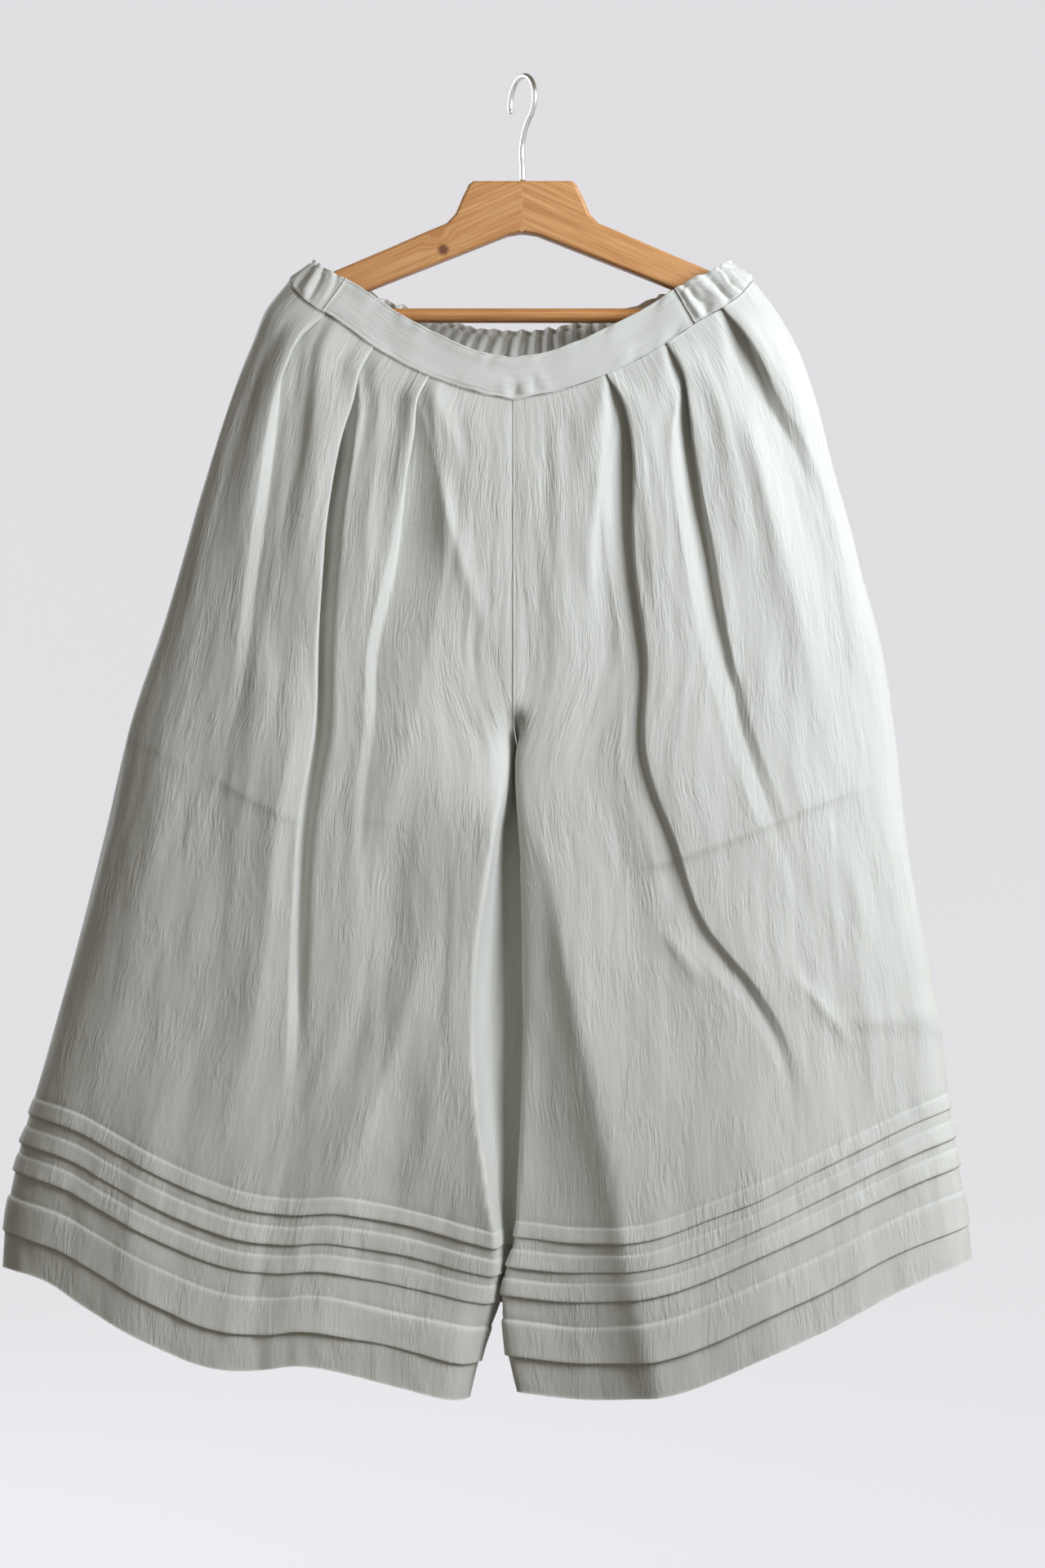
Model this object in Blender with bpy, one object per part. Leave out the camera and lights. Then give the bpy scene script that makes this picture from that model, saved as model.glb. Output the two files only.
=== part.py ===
"""Pleated culottes with an elastic back waist, hung on a wooden hanger with a trouser bar.

Everything is worked out in millimetres and turned to metres when a mesh is made.
+Z is up, the front faces -Y, and the origin is the inside top of the hook's crown.
Right and left are the wearer's: the right leg lies at -X.
Each cloth piece is a wall: a middle surface worked out row by row, moved out to both faces.
A place on a leg is its fall, 0 at the waist seam and 1 at the hem, and its distance along the row,
from the side seam round to the inner seam.
"""

import math

import bpy
import numpy as np

MM = 0.001

# Cloth
PANEL_WALL = 1.6
BAND_WALL = 2.2
SEAM_GAP = 0.3
CENTRE_SEAM_X = -7.5
INSEAM_Y = -4.0
PANEL_LENGTH = 812.0
TOP_FALL = 0.0004
BAND_FALL = -0.04
BAND_HEIGHT = 33.0
FORK_FALL = 0.304
CROTCH_FALL = 0.36
LEG_FALL = 0.56
INNER_SHARE = 0.10
INNER_COLUMN_SHARE = 0.07

# The waist seam from a side (across 0) to the centre (across 1): its height in front and behind,
# and how far the band rises over it
WAIST_COLUMNS = ("across", "front_z", "back_z", "rise")
WAIST = (
    (0.00, -165.5, -165.5, 15.5),
    (0.04, -166.0, -166.0, 15.5),
    (0.09, -170.5, -170.0, 17.0),
    (0.15, -182.0, -179.0, 22.5),
    (0.20, -190.0, -185.0, 26.0),
    (0.28, -199.5, -193.0, 28.0),
    (0.43, -221.0, -209.0, 31.5),
    (0.65, -245.5, -224.0, 34.0),
    (0.84, -259.0, -232.0, 33.0),
    (1.00, -265.7, -235.0, 34.0),
)

# The hem from the side (across 0) to the inseam (across 1)
HEM_COLUMNS = ("across", "right_z", "left_z")
HEM = (
    (0.00, -966.0, -961.0),
    (0.06, -967.0, -961.5),
    (0.16, -977.0, -973.0),
    (0.22, -991.0, -984.0),
    (0.34, -1019.0, -1008.0),
    (0.46, -1039.0, -1031.0),
    (0.54, -1042.5, -1046.0),
    (0.62, -1039.5, -1059.0),
    (0.72, -1047.5, -1067.0),
    (0.82, -1058.5, -1069.0),
    (0.92, -1070.0, -1065.0),
    (1.00, -1074.0, -1062.0),
)

# One leg's sections, from the top of the band to the hem: the side seam, the half depth of the
# leg, its inner front edge, and the line where front and back join
SECTION_COLUMNS = ("fall", "side_x", "depth", "edge_x", "edge_depth", "seam_x")
RIGHT_SECTIONS = (
    (-0.04, -168.0, 25.0, -28.0, 27.0, -7.5),
    (0.00, -190.0, 29.0, -28.0, 31.0, -7.5),
    (0.03, -209.0, 33.0, -28.0, 34.0, -7.5),
    (0.06, -218.5, 36.0, -28.0, 36.0, -7.5),
    (0.12, -234.5, 39.0, -28.0, 38.0, -7.5),
    (0.20, -255.0, 42.0, -26.0, 38.0, -7.5),
    (0.30, -279.0, 44.0, -16.0, 38.0, -7.5),
    (0.36, -295.0, 45.0, -22.0, 42.0, -4.5),
    (0.45, -319.0, 46.0, -38.0, 46.0, 1.5),
    (0.55, -338.0, 47.0, -56.0, 48.0, 5.5),
    (0.70, -368.0, 50.0, -58.0, 50.0, 5.0),
    (0.79, -388.0, 53.0, -43.0, 50.0, 0.5),
    (0.85, -402.0, 54.0, -33.0, 48.0, -7.0),
    (0.90, -412.0, 55.0, -38.0, 46.0, -17.0),
    (0.96, -420.5, 56.0, -50.0, 46.0, -35.0),
    (1.00, -423.0, 56.0, -58.0, 44.0, -43.0),
)
LEFT_SECTIONS = (
    (-0.04, 167.0, 25.0, 12.0, 27.0, -7.5),
    (0.00, 188.0, 29.0, 12.0, 31.0, -7.5),
    (0.03, 206.0, 33.0, 12.0, 34.0, -7.5),
    (0.06, 220.0, 36.0, 12.0, 36.0, -7.5),
    (0.12, 237.0, 39.0, 12.0, 38.0, -7.5),
    (0.20, 253.5, 42.0, 11.0, 38.0, -7.5),
    (0.30, 276.0, 44.0, 3.0, 38.0, -7.5),
    (0.36, 290.0, 45.0, -9.0, 38.0, -0.5),
    (0.45, 302.0, 47.0, -5.5, 34.0, 8.0),
    (0.55, 311.0, 50.0, -3.0, 32.0, 11.0),
    (0.70, 331.0, 53.0, -7.0, 31.0, 10.0),
    (0.79, 342.0, 54.0, -10.0, 31.0, 6.0),
    (0.85, 348.5, 55.0, -13.5, 31.0, 1.6),
    (0.90, 354.5, 56.0, -23.5, 31.0, -6.0),
    (0.96, 362.0, 56.0, -18.0, 31.0, -3.0),
    (1.00, 366.0, 56.0, -10.5, 31.0, 3.0),
)

# Knife pleats: the lip's place across the front at five falls, the fall where it stands half
# open and where it has died out, the cloth laid under, and how far the cloth swells before the
# lip and recovers beyond it once the pleat has opened
LIP_FALLS = (0.0, 0.12, 0.35, 0.65, 1.0)
PLEAT_COLUMNS = ("at_waist", "at_hip", "at_thigh", "at_knee", "at_hem",
                 "half_open", "end", "under", "before", "after")
RIGHT_PLEATS = (
    (0.235, 0.225, 0.250, 0.250, 0.250, 0.050, 0.42, 7.0, 30.0, 34.0),
    (0.450, 0.440, 0.478, 0.580, 0.600, 0.130, 0.86, 12.0, 60.0, 40.0),
    (0.665, 0.650, 0.630, 0.750, 0.800, 0.060, 0.36, 11.0, 30.0, 60.0),
)
LEFT_PLEATS = (
    (0.205, 0.165, 0.170, 0.170, 0.180, 0.050, 0.40, 6.0, 30.0, 34.0),
    (0.430, 0.450, 0.430, 0.330, 0.330, 0.070, 0.56, 11.0, 36.0, 40.0),
    (0.645, 0.640, 0.660, 0.500, 0.530, 0.100, 0.74, 12.0, 46.0, 60.0),
)
# A closed pleat's turn, the length of one bend and how much rounder it grows by mid leg, and the
# swell beside a closed lip
PLEAT_FLAT = math.radians(172.0)
PLEAT_TURN = 5.4
PLEAT_SOFTEN = 2.6
CLOSED_BEFORE = 12.0
CLOSED_AFTER = 13.0

# Broad soft folds with no lip: the crest's place across at the waist and at the hem, the falls
# where it starts and is full, its half width and how far it stands out
SWELL_COLUMNS = ("at_waist", "at_hem", "start", "full", "half_width", "height")
RIGHT_SWELLS = (
    (1.02, 0.67, 0.55, 0.85, 32.0, 9.0),
    (0.20, 0.24, 0.45, 0.90, 46.0, 6.0),
)
LEFT_SWELLS = (
    (1.14, 0.755, 0.32, 0.80, 44.0, 13.0),
    (0.30, 0.26, 0.50, 0.90, 44.0, 7.0),
)
BACK_SWELLS = (
    (0.16, 0.14, 0.02, 0.60, 26.0, 8.0),
    (0.36, 0.35, 0.02, 0.70, 28.0, 11.0),
    (0.58, 0.56, 0.02, 0.55, 28.0, 9.0),
    (0.78, 0.80, 0.02, 0.80, 26.0, 10.0),
)

# Tucks sewn round each leg: the height over the hem of the stitch line and of the fold's edge,
# and how far the folded cloth stands out
TUCK_COLUMNS = ("stitch", "fold", "stands_out")
TUCKS = (
    (138.0, 125.0, 2.2),
    (115.0, 101.0, 2.2),
    (92.0, 78.0, 2.2),
    (58.0, 30.0, 2.6),
)
TUCK_STEP = 0.9
TUCK_CLEAR = 15.0
STITCHED_RELIEF = 0.3

# A row's path seen from above, as control points: how far across from the side seam to the inner
# edge, and the shares of the leg's half depth and of the edge's depth
PLAN_COLUMNS = ("across", "of_top_depth", "of_low_depth", "of_edge_depth")
PLAN = (
    (0.00, 0.00, 0.00, 0.00),
    (0.00, 0.35, 0.24, 0.00),
    (0.03, 0.95, 0.60, 0.00),
    (0.17, 1.03, 0.84, 0.00),
    (0.42, 1.00, 1.06, 0.00),
    (0.68, 0.50, 0.56, 0.50),
    (0.93, 0.00, 0.00, 1.00),
)
PLAN_SAMPLES = 500
SEAM_LEAD = 4.0
INSEAM_LEAD = 14.0
EDGE_BULGE = 2.0

# Gathers of the elastic band and of the back panels under it
BAND_GATHERS = 44
GATHER_HEIGHT = 1.3
FRILL_HEIGHT = 1.6
BACK_GATHERS = 9
BACK_GATHER_HEIGHT = 2.2
CLOSEST_COLUMNS = 0.9
BAND_END_RIGHT = 0.235
BAND_END_LEFT = 0.315

# Where a panel has its rows and columns. Front columns are shares of the cloth before the first
# pleat, between pleats and beyond the last one, and counts in a pleat's bend and round the inseam
FRONT_COUNTS = {
    "turn": 3,
    "side": (0.0, 0.12, 0.27, 0.44, 0.62, 0.80),
    "between": (0.30, 0.65),
    "centre": (0.20, 0.50, 0.80),
    "inner": 4,
}
BACK_COUNTS = {"back": 28}
FRONT_FALLS = (TOP_FALL, 0.02, 0.05, 0.09, 0.14, 0.20, 0.26, FORK_FALL, 0.335, CROTCH_FALL,
               0.42, 0.49, 0.56, 0.64, 0.72, 0.78)
BACK_FALLS = (TOP_FALL, 0.02, 0.05, 0.12, 0.20, FORK_FALL, CROTCH_FALL, 0.46, 0.58, 0.70)

# Hanger: two flat arms mitred at the middle, a bar let into their heels and a bent wire hook
HANGER_THICKNESS = 14.0
HANGER_BEVEL = 2.0
BAR_RADIUS = 5.9
BAR_Z = -193.0
HEEL_X = 170.0
HEEL_TOP_Z = -186.0
HEEL_BOTTOM_Z = -202.0
TIP_Z = -186.0
TIP_CUT = (4.0, 7.0)
TOE_IN = 12.0
TIP_FALL = 0.025
TIP_CLEAR = 2.6
ARM_MIDDLE_TOP_Z = -84.0
ARM_MIDDLE_BOTTOM_Z = -126.0
# The arm's upper and lower edges as x and z
ARM_TOP = (
    (40.0, -84.0),
    (44.0, -87.0),
    (50.0, -99.0),
    (55.0, -111.0),
    (62.0, -118.5),
    (105.0, -137.0),
    (151.0, -156.5),
    (188.0, -172.5),
)
ARM_BOTTOM = (
    (122.0, -171.5),
    (60.0, -147.0),
    (26.0, -133.5),
    (12.0, -128.0),
)

# Wire hook: a stem with a swan neck, then a bow swept between two angles
WIRE_RADIUS = 2.15
HOOK_RADIUS = 20.0
HOOK_TURN = math.radians(60.0)
BOW_FROM = math.radians(-58.0)
BOW_TO = math.radians(200.0)
BOW_POINTS = 22
# The neck's middle line over the stem's foot as x and z
NECK = (
    (0.0, -72.0),
    (-1.0, -63.0),
    (-0.5, -54.0),
    (4.0, -43.0),
)

LINEN = (0.47, 0.475, 0.44, 1.0)
CEDAR = (0.50, 0.24, 0.085, 1.0)
STEEL = (0.72, 0.72, 0.72, 1.0)


def table(rows, names):
    """A table's columns as arrays, by name."""
    return dict(zip(names, np.array(rows, float).T))


def smooth_step(low, high, value):
    """0 below low, 1 above high, eased between."""
    part = np.clip((value - low) / (high - low), 0.0, 1.0)
    return part * part * (3.0 - 2.0 * part)


def smooth_curve(knots, values, at):
    """Cubic curve through the knots with central-difference slopes."""
    slopes = np.gradient(values, knots)
    at = np.clip(at, knots[0], knots[-1])
    index = np.clip(np.searchsorted(knots, at, side="right") - 1, 0, len(knots) - 2)
    span = knots[index + 1] - knots[index]
    part = (at - knots[index]) / span
    square = part * part
    cube = square * part
    return ((2 * cube - 3 * square + 1) * values[index]
            + (cube - 2 * square + part) * span * slopes[index]
            + (3 * square - 2 * cube) * values[index + 1]
            + (cube - square) * span * slopes[index + 1])


def spline_basis(count, samples, degree=3):
    """Weights of count control points of a clamped B-spline at even samples."""
    inner = np.arange(1, count - degree) / (count - degree)
    knots = np.concatenate((np.zeros(degree + 1), inner, np.ones(degree + 1)))
    at = np.linspace(0.0, 1.0 - 1e-9, samples)[:, None]
    basis = ((at >= knots[:-1]) & (at < knots[1:])).astype(float)
    for order in range(1, degree + 1):
        fewer = basis.shape[1] - 1
        low = knots[:fewer + 1]
        high = knots[order:order + fewer + 1]
        width = high - low
        share = np.where(width > 0, (at - low) / np.where(width > 0, width, 1.0), 0.0)
        basis = share[:, :-1] * basis[:, :-1] + (1.0 - share[:, 1:]) * basis[:, 1:]
    return basis


PLAN_BASIS = spline_basis(len(PLAN) + 3, PLAN_SAMPLES)


class Leg:
    """One leg as it hangs: its front with face -1, its back with face 1."""

    def __init__(self, name, face):
        right = name == "right"
        self.face = face
        self.inward = 1.0 if right else -1.0
        self.sections = table(RIGHT_SECTIONS if right else LEFT_SECTIONS, SECTION_COLUMNS)
        self.waist = table(WAIST, WAIST_COLUMNS)
        self.hem = table(HEM, HEM_COLUMNS)
        self.hem_z = self.hem[name + "_z"]

    def section(self, name, fall):
        return float(smooth_curve(self.sections["fall"], self.sections[name], fall))

    def plan(self, fall):
        """The row's path seen from above, and the length run at each of its points.

        It turns round the side, crosses the leg, turns at the inner edge and ends at the seam:
        the centre seam above the fork, where it ends facing across, then round the crotch to the
        inseam, where it ends facing the other panel.
        """
        side, depth, edge, edge_depth, seam = (
            self.section(name, fall)
            for name in ("side_x", "depth", "edge_x", "edge_depth", "seam_x"))
        inward = self.inward
        rows = table(PLAN, PLAN_COLUMNS)
        opened = smooth_step(FORK_FALL, CROTCH_FALL, fall)
        turn = opened * math.pi / 2
        if fall < CROTCH_FALL:
            kept_clear = 0.5 * (SEAM_GAP + PANEL_WALL * math.sin(turn))
            seam = CENTRE_SEAM_X + (seam - CENTRE_SEAM_X) * opened - inward * kept_clear
        seam_depth = edge_depth + (self.face * INSEAM_Y + 0.5 * SEAM_GAP - edge_depth) * opened
        lead = SEAM_LEAD + (INSEAM_LEAD - SEAM_LEAD) * opened
        outer_x = side + (edge - side) * rows["across"]
        lower = smooth_step(0.04, 0.40, fall)
        of_depth = rows["of_top_depth"] * (1.0 - lower) + rows["of_low_depth"] * lower
        outer_y = depth * of_depth + edge_depth * rows["of_edge_depth"]
        outer_y[0] = 0.5 * SEAM_GAP
        path = PLAN_BASIS @ np.array((
            *zip(outer_x, outer_y),
            (edge + inward * EDGE_BULGE * opened, edge_depth - opened),
            (seam - inward * lead * math.cos(turn), seam_depth + lead * math.sin(turn)),
            (seam, seam_depth),
        ))
        path[:, 1] *= self.face
        steps = np.hypot(path[1:, 0] - path[:-1, 0], path[1:, 1] - path[:-1, 1])
        return path, np.concatenate(((0.0,), np.cumsum(steps)))

    def base(self, fall, run):
        """Points of the plain leg, without folds, at distances along the row."""
        path, runs = self.plan(fall)
        across = run / runs[-1]
        down = max(fall, 0.0)
        front_z = smooth_curve(self.waist["across"], self.waist["front_z"], across)
        hem_z = smooth_curve(self.hem["across"], self.hem_z, across)
        z = front_z + (hem_z - front_z) * down
        if self.face > 0:
            back_z = smooth_curve(self.waist["across"], self.waist["back_z"], across)
            z = z + (back_z - front_z) * (1.0 - smooth_step(0.0, CROTCH_FALL, down))
        if fall < 0.0:
            rise = smooth_curve(self.waist["across"], self.waist["rise"], across)
            z = z + rise * fall / BAND_FALL
        x = np.interp(run, runs, path[:, 0])
        y = np.interp(run, runs, path[:, 1])
        return np.stack((x, y, z), axis=-1)

    def frame(self, fall, run, reach=0.004):
        """Plain points with the unit direction along the row and the one out of the cloth."""
        length = self.length(fall)
        points = self.base(fall, run)
        ahead = np.clip(run + 0.5, 0.0, length)
        behind = np.clip(run - 0.5, 0.0, length)
        along = self.base(fall, ahead) - self.base(fall, behind)
        above = max(fall - reach, BAND_FALL)
        below = min(fall + reach, 1.0)
        share = run / length
        down = self.base(below, share * self.length(below))
        down = down - self.base(above, share * self.length(above))
        out = np.cross(along, down) * (self.inward * self.face)
        along /= np.linalg.norm(along, axis=-1, keepdims=True)
        out /= np.linalg.norm(out, axis=-1, keepdims=True)
        return points, along, out

    def length(self, fall):
        return self.plan(fall)[1][-1]

    def reach(self, fall):
        """The length of the row up to the leg's inner edge, or to the centre seam above the fork."""
        return self.length(fall) * (1.0 - INNER_SHARE * smooth_step(FORK_FALL, LEG_FALL, fall))


def pleat_spans(leg, fall, pleats, turn_steps):
    """Each pleat of a row: where it starts, its run, its drop and its angle at each column.

    The cloth turns in through the pleat's angle, runs under, and turns back, keeping its length.
    """
    rows = table(pleats, PLEAT_COLUMNS)
    spans = []
    for number in range(len(pleats)):
        pleat = {name: values[number] for name, values in rows.items()}
        lips = np.array([pleat[name] for name in PLEAT_COLUMNS[:len(LIP_FALLS)]])
        lip = float(smooth_curve(np.array(LIP_FALLS), lips, fall))
        angle = PLEAT_FLAT * 0.5 ** (fall / pleat["half_open"])
        angle *= 1.0 - smooth_step(0.5 * pleat["end"], pleat["end"], fall)
        turn = PLEAT_TURN * (1.0 + PLEAT_SOFTEN * smooth_step(0.0, 0.5, fall))
        bend = np.linspace(0.0, angle, turn_steps + 1)
        bend = np.concatenate((bend, bend[::-1]))
        step = np.full(turn_steps, turn / turn_steps)
        steps = np.concatenate((step, (pleat["under"],), step))
        middle = 0.5 * (bend[1:] + bend[:-1])
        run = np.concatenate(((0.0,), np.cumsum(steps * np.cos(middle))))
        drop = np.concatenate(((0.0,), np.cumsum(steps * np.sin(middle))))
        opened = smooth_step(0.0, pleat["end"], fall)
        spans.append({
            "run": lip * leg.reach(fall) - run.max() + run,
            "drop": drop,
            "bend": bend,
            "before": CLOSED_BEFORE + (pleat["before"] - CLOSED_BEFORE) * opened,
            "after": CLOSED_AFTER + (pleat["after"] - CLOSED_AFTER) * opened,
        })
    return spans


def swelling(leg, fall, swells, run):
    """Height of the broad soft folds, each a bell round its crest."""
    rows = table(swells, SWELL_COLUMNS)
    height = np.zeros_like(run)
    for at_waist, at_hem, start, full, half_width, top in zip(*rows.values()):
        crest = (at_waist + (at_hem - at_waist) * fall) * leg.reach(fall)
        height += top * smooth_step(start, full, fall) * np.exp(-((run - crest) / half_width) ** 2)
    return height


def front_row(leg, fall, pleats, swells, counts):
    """Run, height and angle of a front row's columns.

    Half of each pleat's drop is a swell before its lip, the other half is regained beyond it.
    """
    spans = pleat_spans(leg, fall, pleats, counts["turn"])
    limits = [0.0] + [end for span in spans for end in (span["run"][0], span["run"][-1])]
    inner_start = min(leg.reach(fall), (1.0 - INNER_COLUMN_SHARE) * leg.length(fall))
    limits.append(inner_start)
    shares = [counts["side"]] + [counts["between"]] * (len(pleats) - 1) + [counts["centre"]]

    def height_at(run, order):
        """Height beside the pleats, where order counts the pleats already passed."""
        height = swelling(leg, fall, swells, run)
        for number, span in enumerate(spans):
            half = 0.5 * span["drop"][-1]
            if number >= order:
                start = span["run"][0]
                height += half * smooth_step(start - span["before"], start, run)
            else:
                end = span["run"][-1]
                height -= half * (1.0 - smooth_step(end, end + span["after"], run))
        return height

    parts = []
    for zone, share in enumerate(shares):
        low, high = limits[2 * zone:2 * zone + 2]
        run = low + (high - low) * np.array(share)
        slope = height_at(run + 0.5, zone) - height_at(run - 0.5, zone)
        parts.append((run, height_at(run, zone), -np.arctan(slope)))
        if zone < len(spans):
            span = spans[zone]
            start_height = height_at(span["run"][:1], zone)
            passed = np.linspace(0.0, 1.0, len(span["run"]))
            end_height = height_at(span["run"][-1:], zone + 1) + span["drop"][-1]
            level = start_height + (end_height - start_height) * passed
            parts.append((span["run"], level - span["drop"], span["bend"]))
    inner = np.linspace(inner_start, leg.length(fall), counts["inner"])
    parts.append((inner, swelling(leg, fall, swells, inner), np.zeros(len(inner))))
    return tuple(np.concatenate([part[number] for part in parts]) for number in range(3))


def back_row(leg, fall, counts):
    """Run, height and angle of a back row's columns: small gathers that open into broad folds."""
    count = np.linspace(0.0, 1.0, counts["back"])
    run = (0.5 * count + 0.5 * count * count) * leg.length(fall)
    waves = 0.5 - 0.5 * np.cos(2.0 * math.pi * BACK_GATHERS * count)
    fading = 1.0 - smooth_step(0.0, 0.3, fall)
    height = BACK_GATHER_HEIGHT * waves * fading + swelling(leg, fall, BACK_SWELLS, run)
    return run, height, -np.arctan(np.gradient(height, run))


def tuck_rows(wanted_falls):
    """Falls of a panel's rows with how far the tucks raise the outer face at each."""
    rows = [(fall, 0.0) for fall in wanted_falls]
    above = PANEL_LENGTH
    for stitch, fold, stands_out in TUCKS:
        if above - stitch > TUCK_CLEAR:
            rows.append((1.0 - stitch / PANEL_LENGTH, STITCHED_RELIEF))
        above = fold
        rows.append((1.0 - fold / PANEL_LENGTH, stands_out))
        rows.append((1.0 - (fold - TUCK_STEP) / PANEL_LENGTH, 0.0))
    rows.append((1.0, STITCHED_RELIEF))
    return sorted(rows)


def square_ends(leg, fall, facing):
    """Turn the wall's direction at a row's ends into the seam's plane, so that walls meet there."""
    facing[0, 1] = 0.0
    if fall <= FORK_FALL:
        facing[-1, 0] = 0.0
    if fall >= CROTCH_FALL:
        facing[-1, 1] = 0.0
    facing[[0, -1]] /= np.linalg.norm(facing[[0, -1]], axis=1, keepdims=True)
    return facing


def panel(leg, falls, columns):
    """Inner and outer faces of a panel as grids of points."""
    inner = []
    outer = []
    for fall, relief in tuck_rows(falls):
        run, height, angle = columns(leg, fall)
        run = np.clip(run, 0.0, leg.length(fall))
        points, along, out = leg.frame(fall, run)
        middle = points + out * height[:, None]
        facing = out * np.cos(angle)[:, None] + along * np.sin(angle)[:, None]
        facing = square_ends(leg, fall, facing)
        inner.append(middle - 0.5 * PANEL_WALL * facing)
        outer.append(middle + (0.5 * PANEL_WALL + relief) * facing)
    return np.array(inner), np.array(outer)


def strip(pieces, falls, gathers, wall):
    """Faces of a band that runs along several legs' rows, with evenly spaced gathers.

    Each piece is a leg and the shares of its row where the band starts and ends on it.
    """
    inner = []
    outer = []
    for fall in falls:
        parts = []
        for leg, start, end, count in pieces:
            share = np.linspace(start, end, count)
            parts.append(leg.frame(fall, share * leg.length(fall)))
        points = np.concatenate([part[0] for part in parts])
        out = np.concatenate([part[2] for part in parts])
        steps = np.linalg.norm(points[1:] - points[:-1], axis=1)
        apart = np.concatenate(((True,), steps > CLOSEST_COLUMNS))
        points = points[apart]
        out = out[apart]
        wave = np.sin(2.0 * math.pi * gathers * np.linspace(0.0, 1.0, len(points)))
        points = points + out * (GATHER_HEIGHT * wave)[:, None]
        points[:, 2] += FRILL_HEIGHT * wave * smooth_step(0.6, 1.0, fall / BAND_FALL)
        inner.append(points - 0.5 * wall * out)
        outer.append(points + 0.5 * wall * out)
    return np.array(inner), np.array(outer)


def material(name, colour, roughness, metallic=0.0):
    """A Principled material."""
    made = bpy.data.materials.new(name)
    made.use_nodes = True
    shader = made.node_tree.nodes["Principled BSDF"]
    shader.inputs["Base Color"].default_value = colour
    shader.inputs["Roughness"].default_value = roughness
    shader.inputs["Metallic"].default_value = metallic
    return made


def add_object(name, points, faces, finish):
    """A named object from points in millimetres."""
    mesh = bpy.data.meshes.new(name)
    mesh.from_pydata((np.asarray(points) * MM).tolist(), [], faces)
    mesh.materials.append(finish)
    mesh.validate()
    made = bpy.data.objects.new(name, mesh)
    bpy.context.scene.collection.objects.link(made)
    return made


def add_wall(name, inner, outer, finish, flipped):
    """A closed wall between two grids of points."""
    rows, columns = inner.shape[:2]
    count = rows * columns
    index = np.arange(count).reshape(rows, columns)

    def quads(grid):
        corners = (grid[:-1, :-1], grid[:-1, 1:], grid[1:, 1:], grid[1:, :-1])
        return np.stack([corner.ravel() for corner in corners], axis=1)

    edge = np.concatenate((index[0, :], index[1:, -1], index[-1, -2::-1], index[-2:0:-1, 0]))
    following = np.roll(edge, -1)
    rim = np.stack((edge, edge + count, following + count, following), axis=1)
    faces = np.concatenate((quads(index), quads(index + count)[:, ::-1], rim))
    if flipped:
        faces = faces[:, ::-1]
    points = np.concatenate((inner.reshape(-1, 3), outer.reshape(-1, 3)))
    return add_object(name, points, faces.tolist(), finish)


def add_tube(name, path, radius, sides, finish):
    """A round closed tube along a path that stays in one upright plane."""
    path = np.asarray(path, float)
    ahead = np.gradient(path, axis=0)
    ahead /= np.linalg.norm(ahead, axis=1, keepdims=True)
    across = np.cross(path[-1] - path[0], path[len(path) // 2] - path[0])
    if np.linalg.norm(across) < 1e-6:
        across = np.array((0.0, 1.0, 0.0))
    across = across / np.linalg.norm(across)
    upward = np.cross(ahead, across)
    angle = np.arange(sides) * 2.0 * math.pi / sides
    ring = np.cos(angle)[:, None] * across + np.sin(angle)[:, None] * upward[:, None, :]
    points = (path[:, None, :] + radius * ring).reshape(-1, 3)
    index = np.arange(len(points)).reshape(len(path), sides)
    beside = np.roll(index, -1, axis=1)
    corners = (index[:-1], beside[:-1], beside[1:], index[1:])
    faces = np.stack([corner.ravel() for corner in corners], axis=1).tolist()
    faces.append(index[0][::-1].tolist())
    faces.append(index[-1].tolist())
    return add_object(name, points, faces, finish)


def add_arm(name, side, tip_x, finish):
    """One half of the hanger: its outline extruded to the wood's thickness, edges bevelled."""
    outline = [(0.5 * SEAM_GAP, ARM_MIDDLE_TOP_Z), *ARM_TOP, (tip_x, TIP_Z),
               (tip_x - TIP_CUT[0], TIP_Z - TIP_CUT[1]), (tip_x - TOE_IN, HEEL_BOTTOM_Z),
               (HEEL_X, HEEL_BOTTOM_Z), (HEEL_X, HEEL_TOP_Z),
               *ARM_BOTTOM, (0.5 * SEAM_GAP, ARM_MIDDLE_BOTTOM_Z)]
    outline = np.array(outline)
    middle = outline.mean(axis=0)
    count = len(outline)
    half = 0.5 * HANGER_THICKNESS
    following = np.roll(outline, -1, axis=0)
    previous = np.roll(outline, 1, axis=0)
    inward = np.stack((previous[:, 1] - following[:, 1], following[:, 0] - previous[:, 0]), axis=1)
    inward /= np.linalg.norm(inward, axis=1, keepdims=True)
    inward *= np.sign(np.sum(inward * (middle - outline)))
    inward[outline[:, 0] < SEAM_GAP] = 0.0
    slim = outline + HANGER_BEVEL * inward
    slim[0] = outline[0] + np.array((0.0, -HANGER_BEVEL))
    slim[-1] = outline[-1] + np.array((0.0, HANGER_BEVEL))
    square = half - HANGER_BEVEL
    rings = []
    for shape, y in ((slim, -half), (outline, -square), (outline, square), (slim, half)):
        rings.append(np.stack((side * shape[:, 0], np.full(count, y), shape[:, 1]), axis=1))
    index = np.arange(4 * count).reshape(4, count)
    beside = np.roll(index, -1, axis=1)
    corners = (index[:-1], beside[:-1], beside[1:], index[1:])
    faces = np.stack([corner.ravel() for corner in corners], axis=1).tolist()
    faces.append(index[0][::-1].tolist())
    faces.append(index[-1].tolist())
    if side < 0:
        faces = [face[::-1] for face in faces]
    return add_object(name, np.concatenate(rings), faces, finish)


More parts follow.
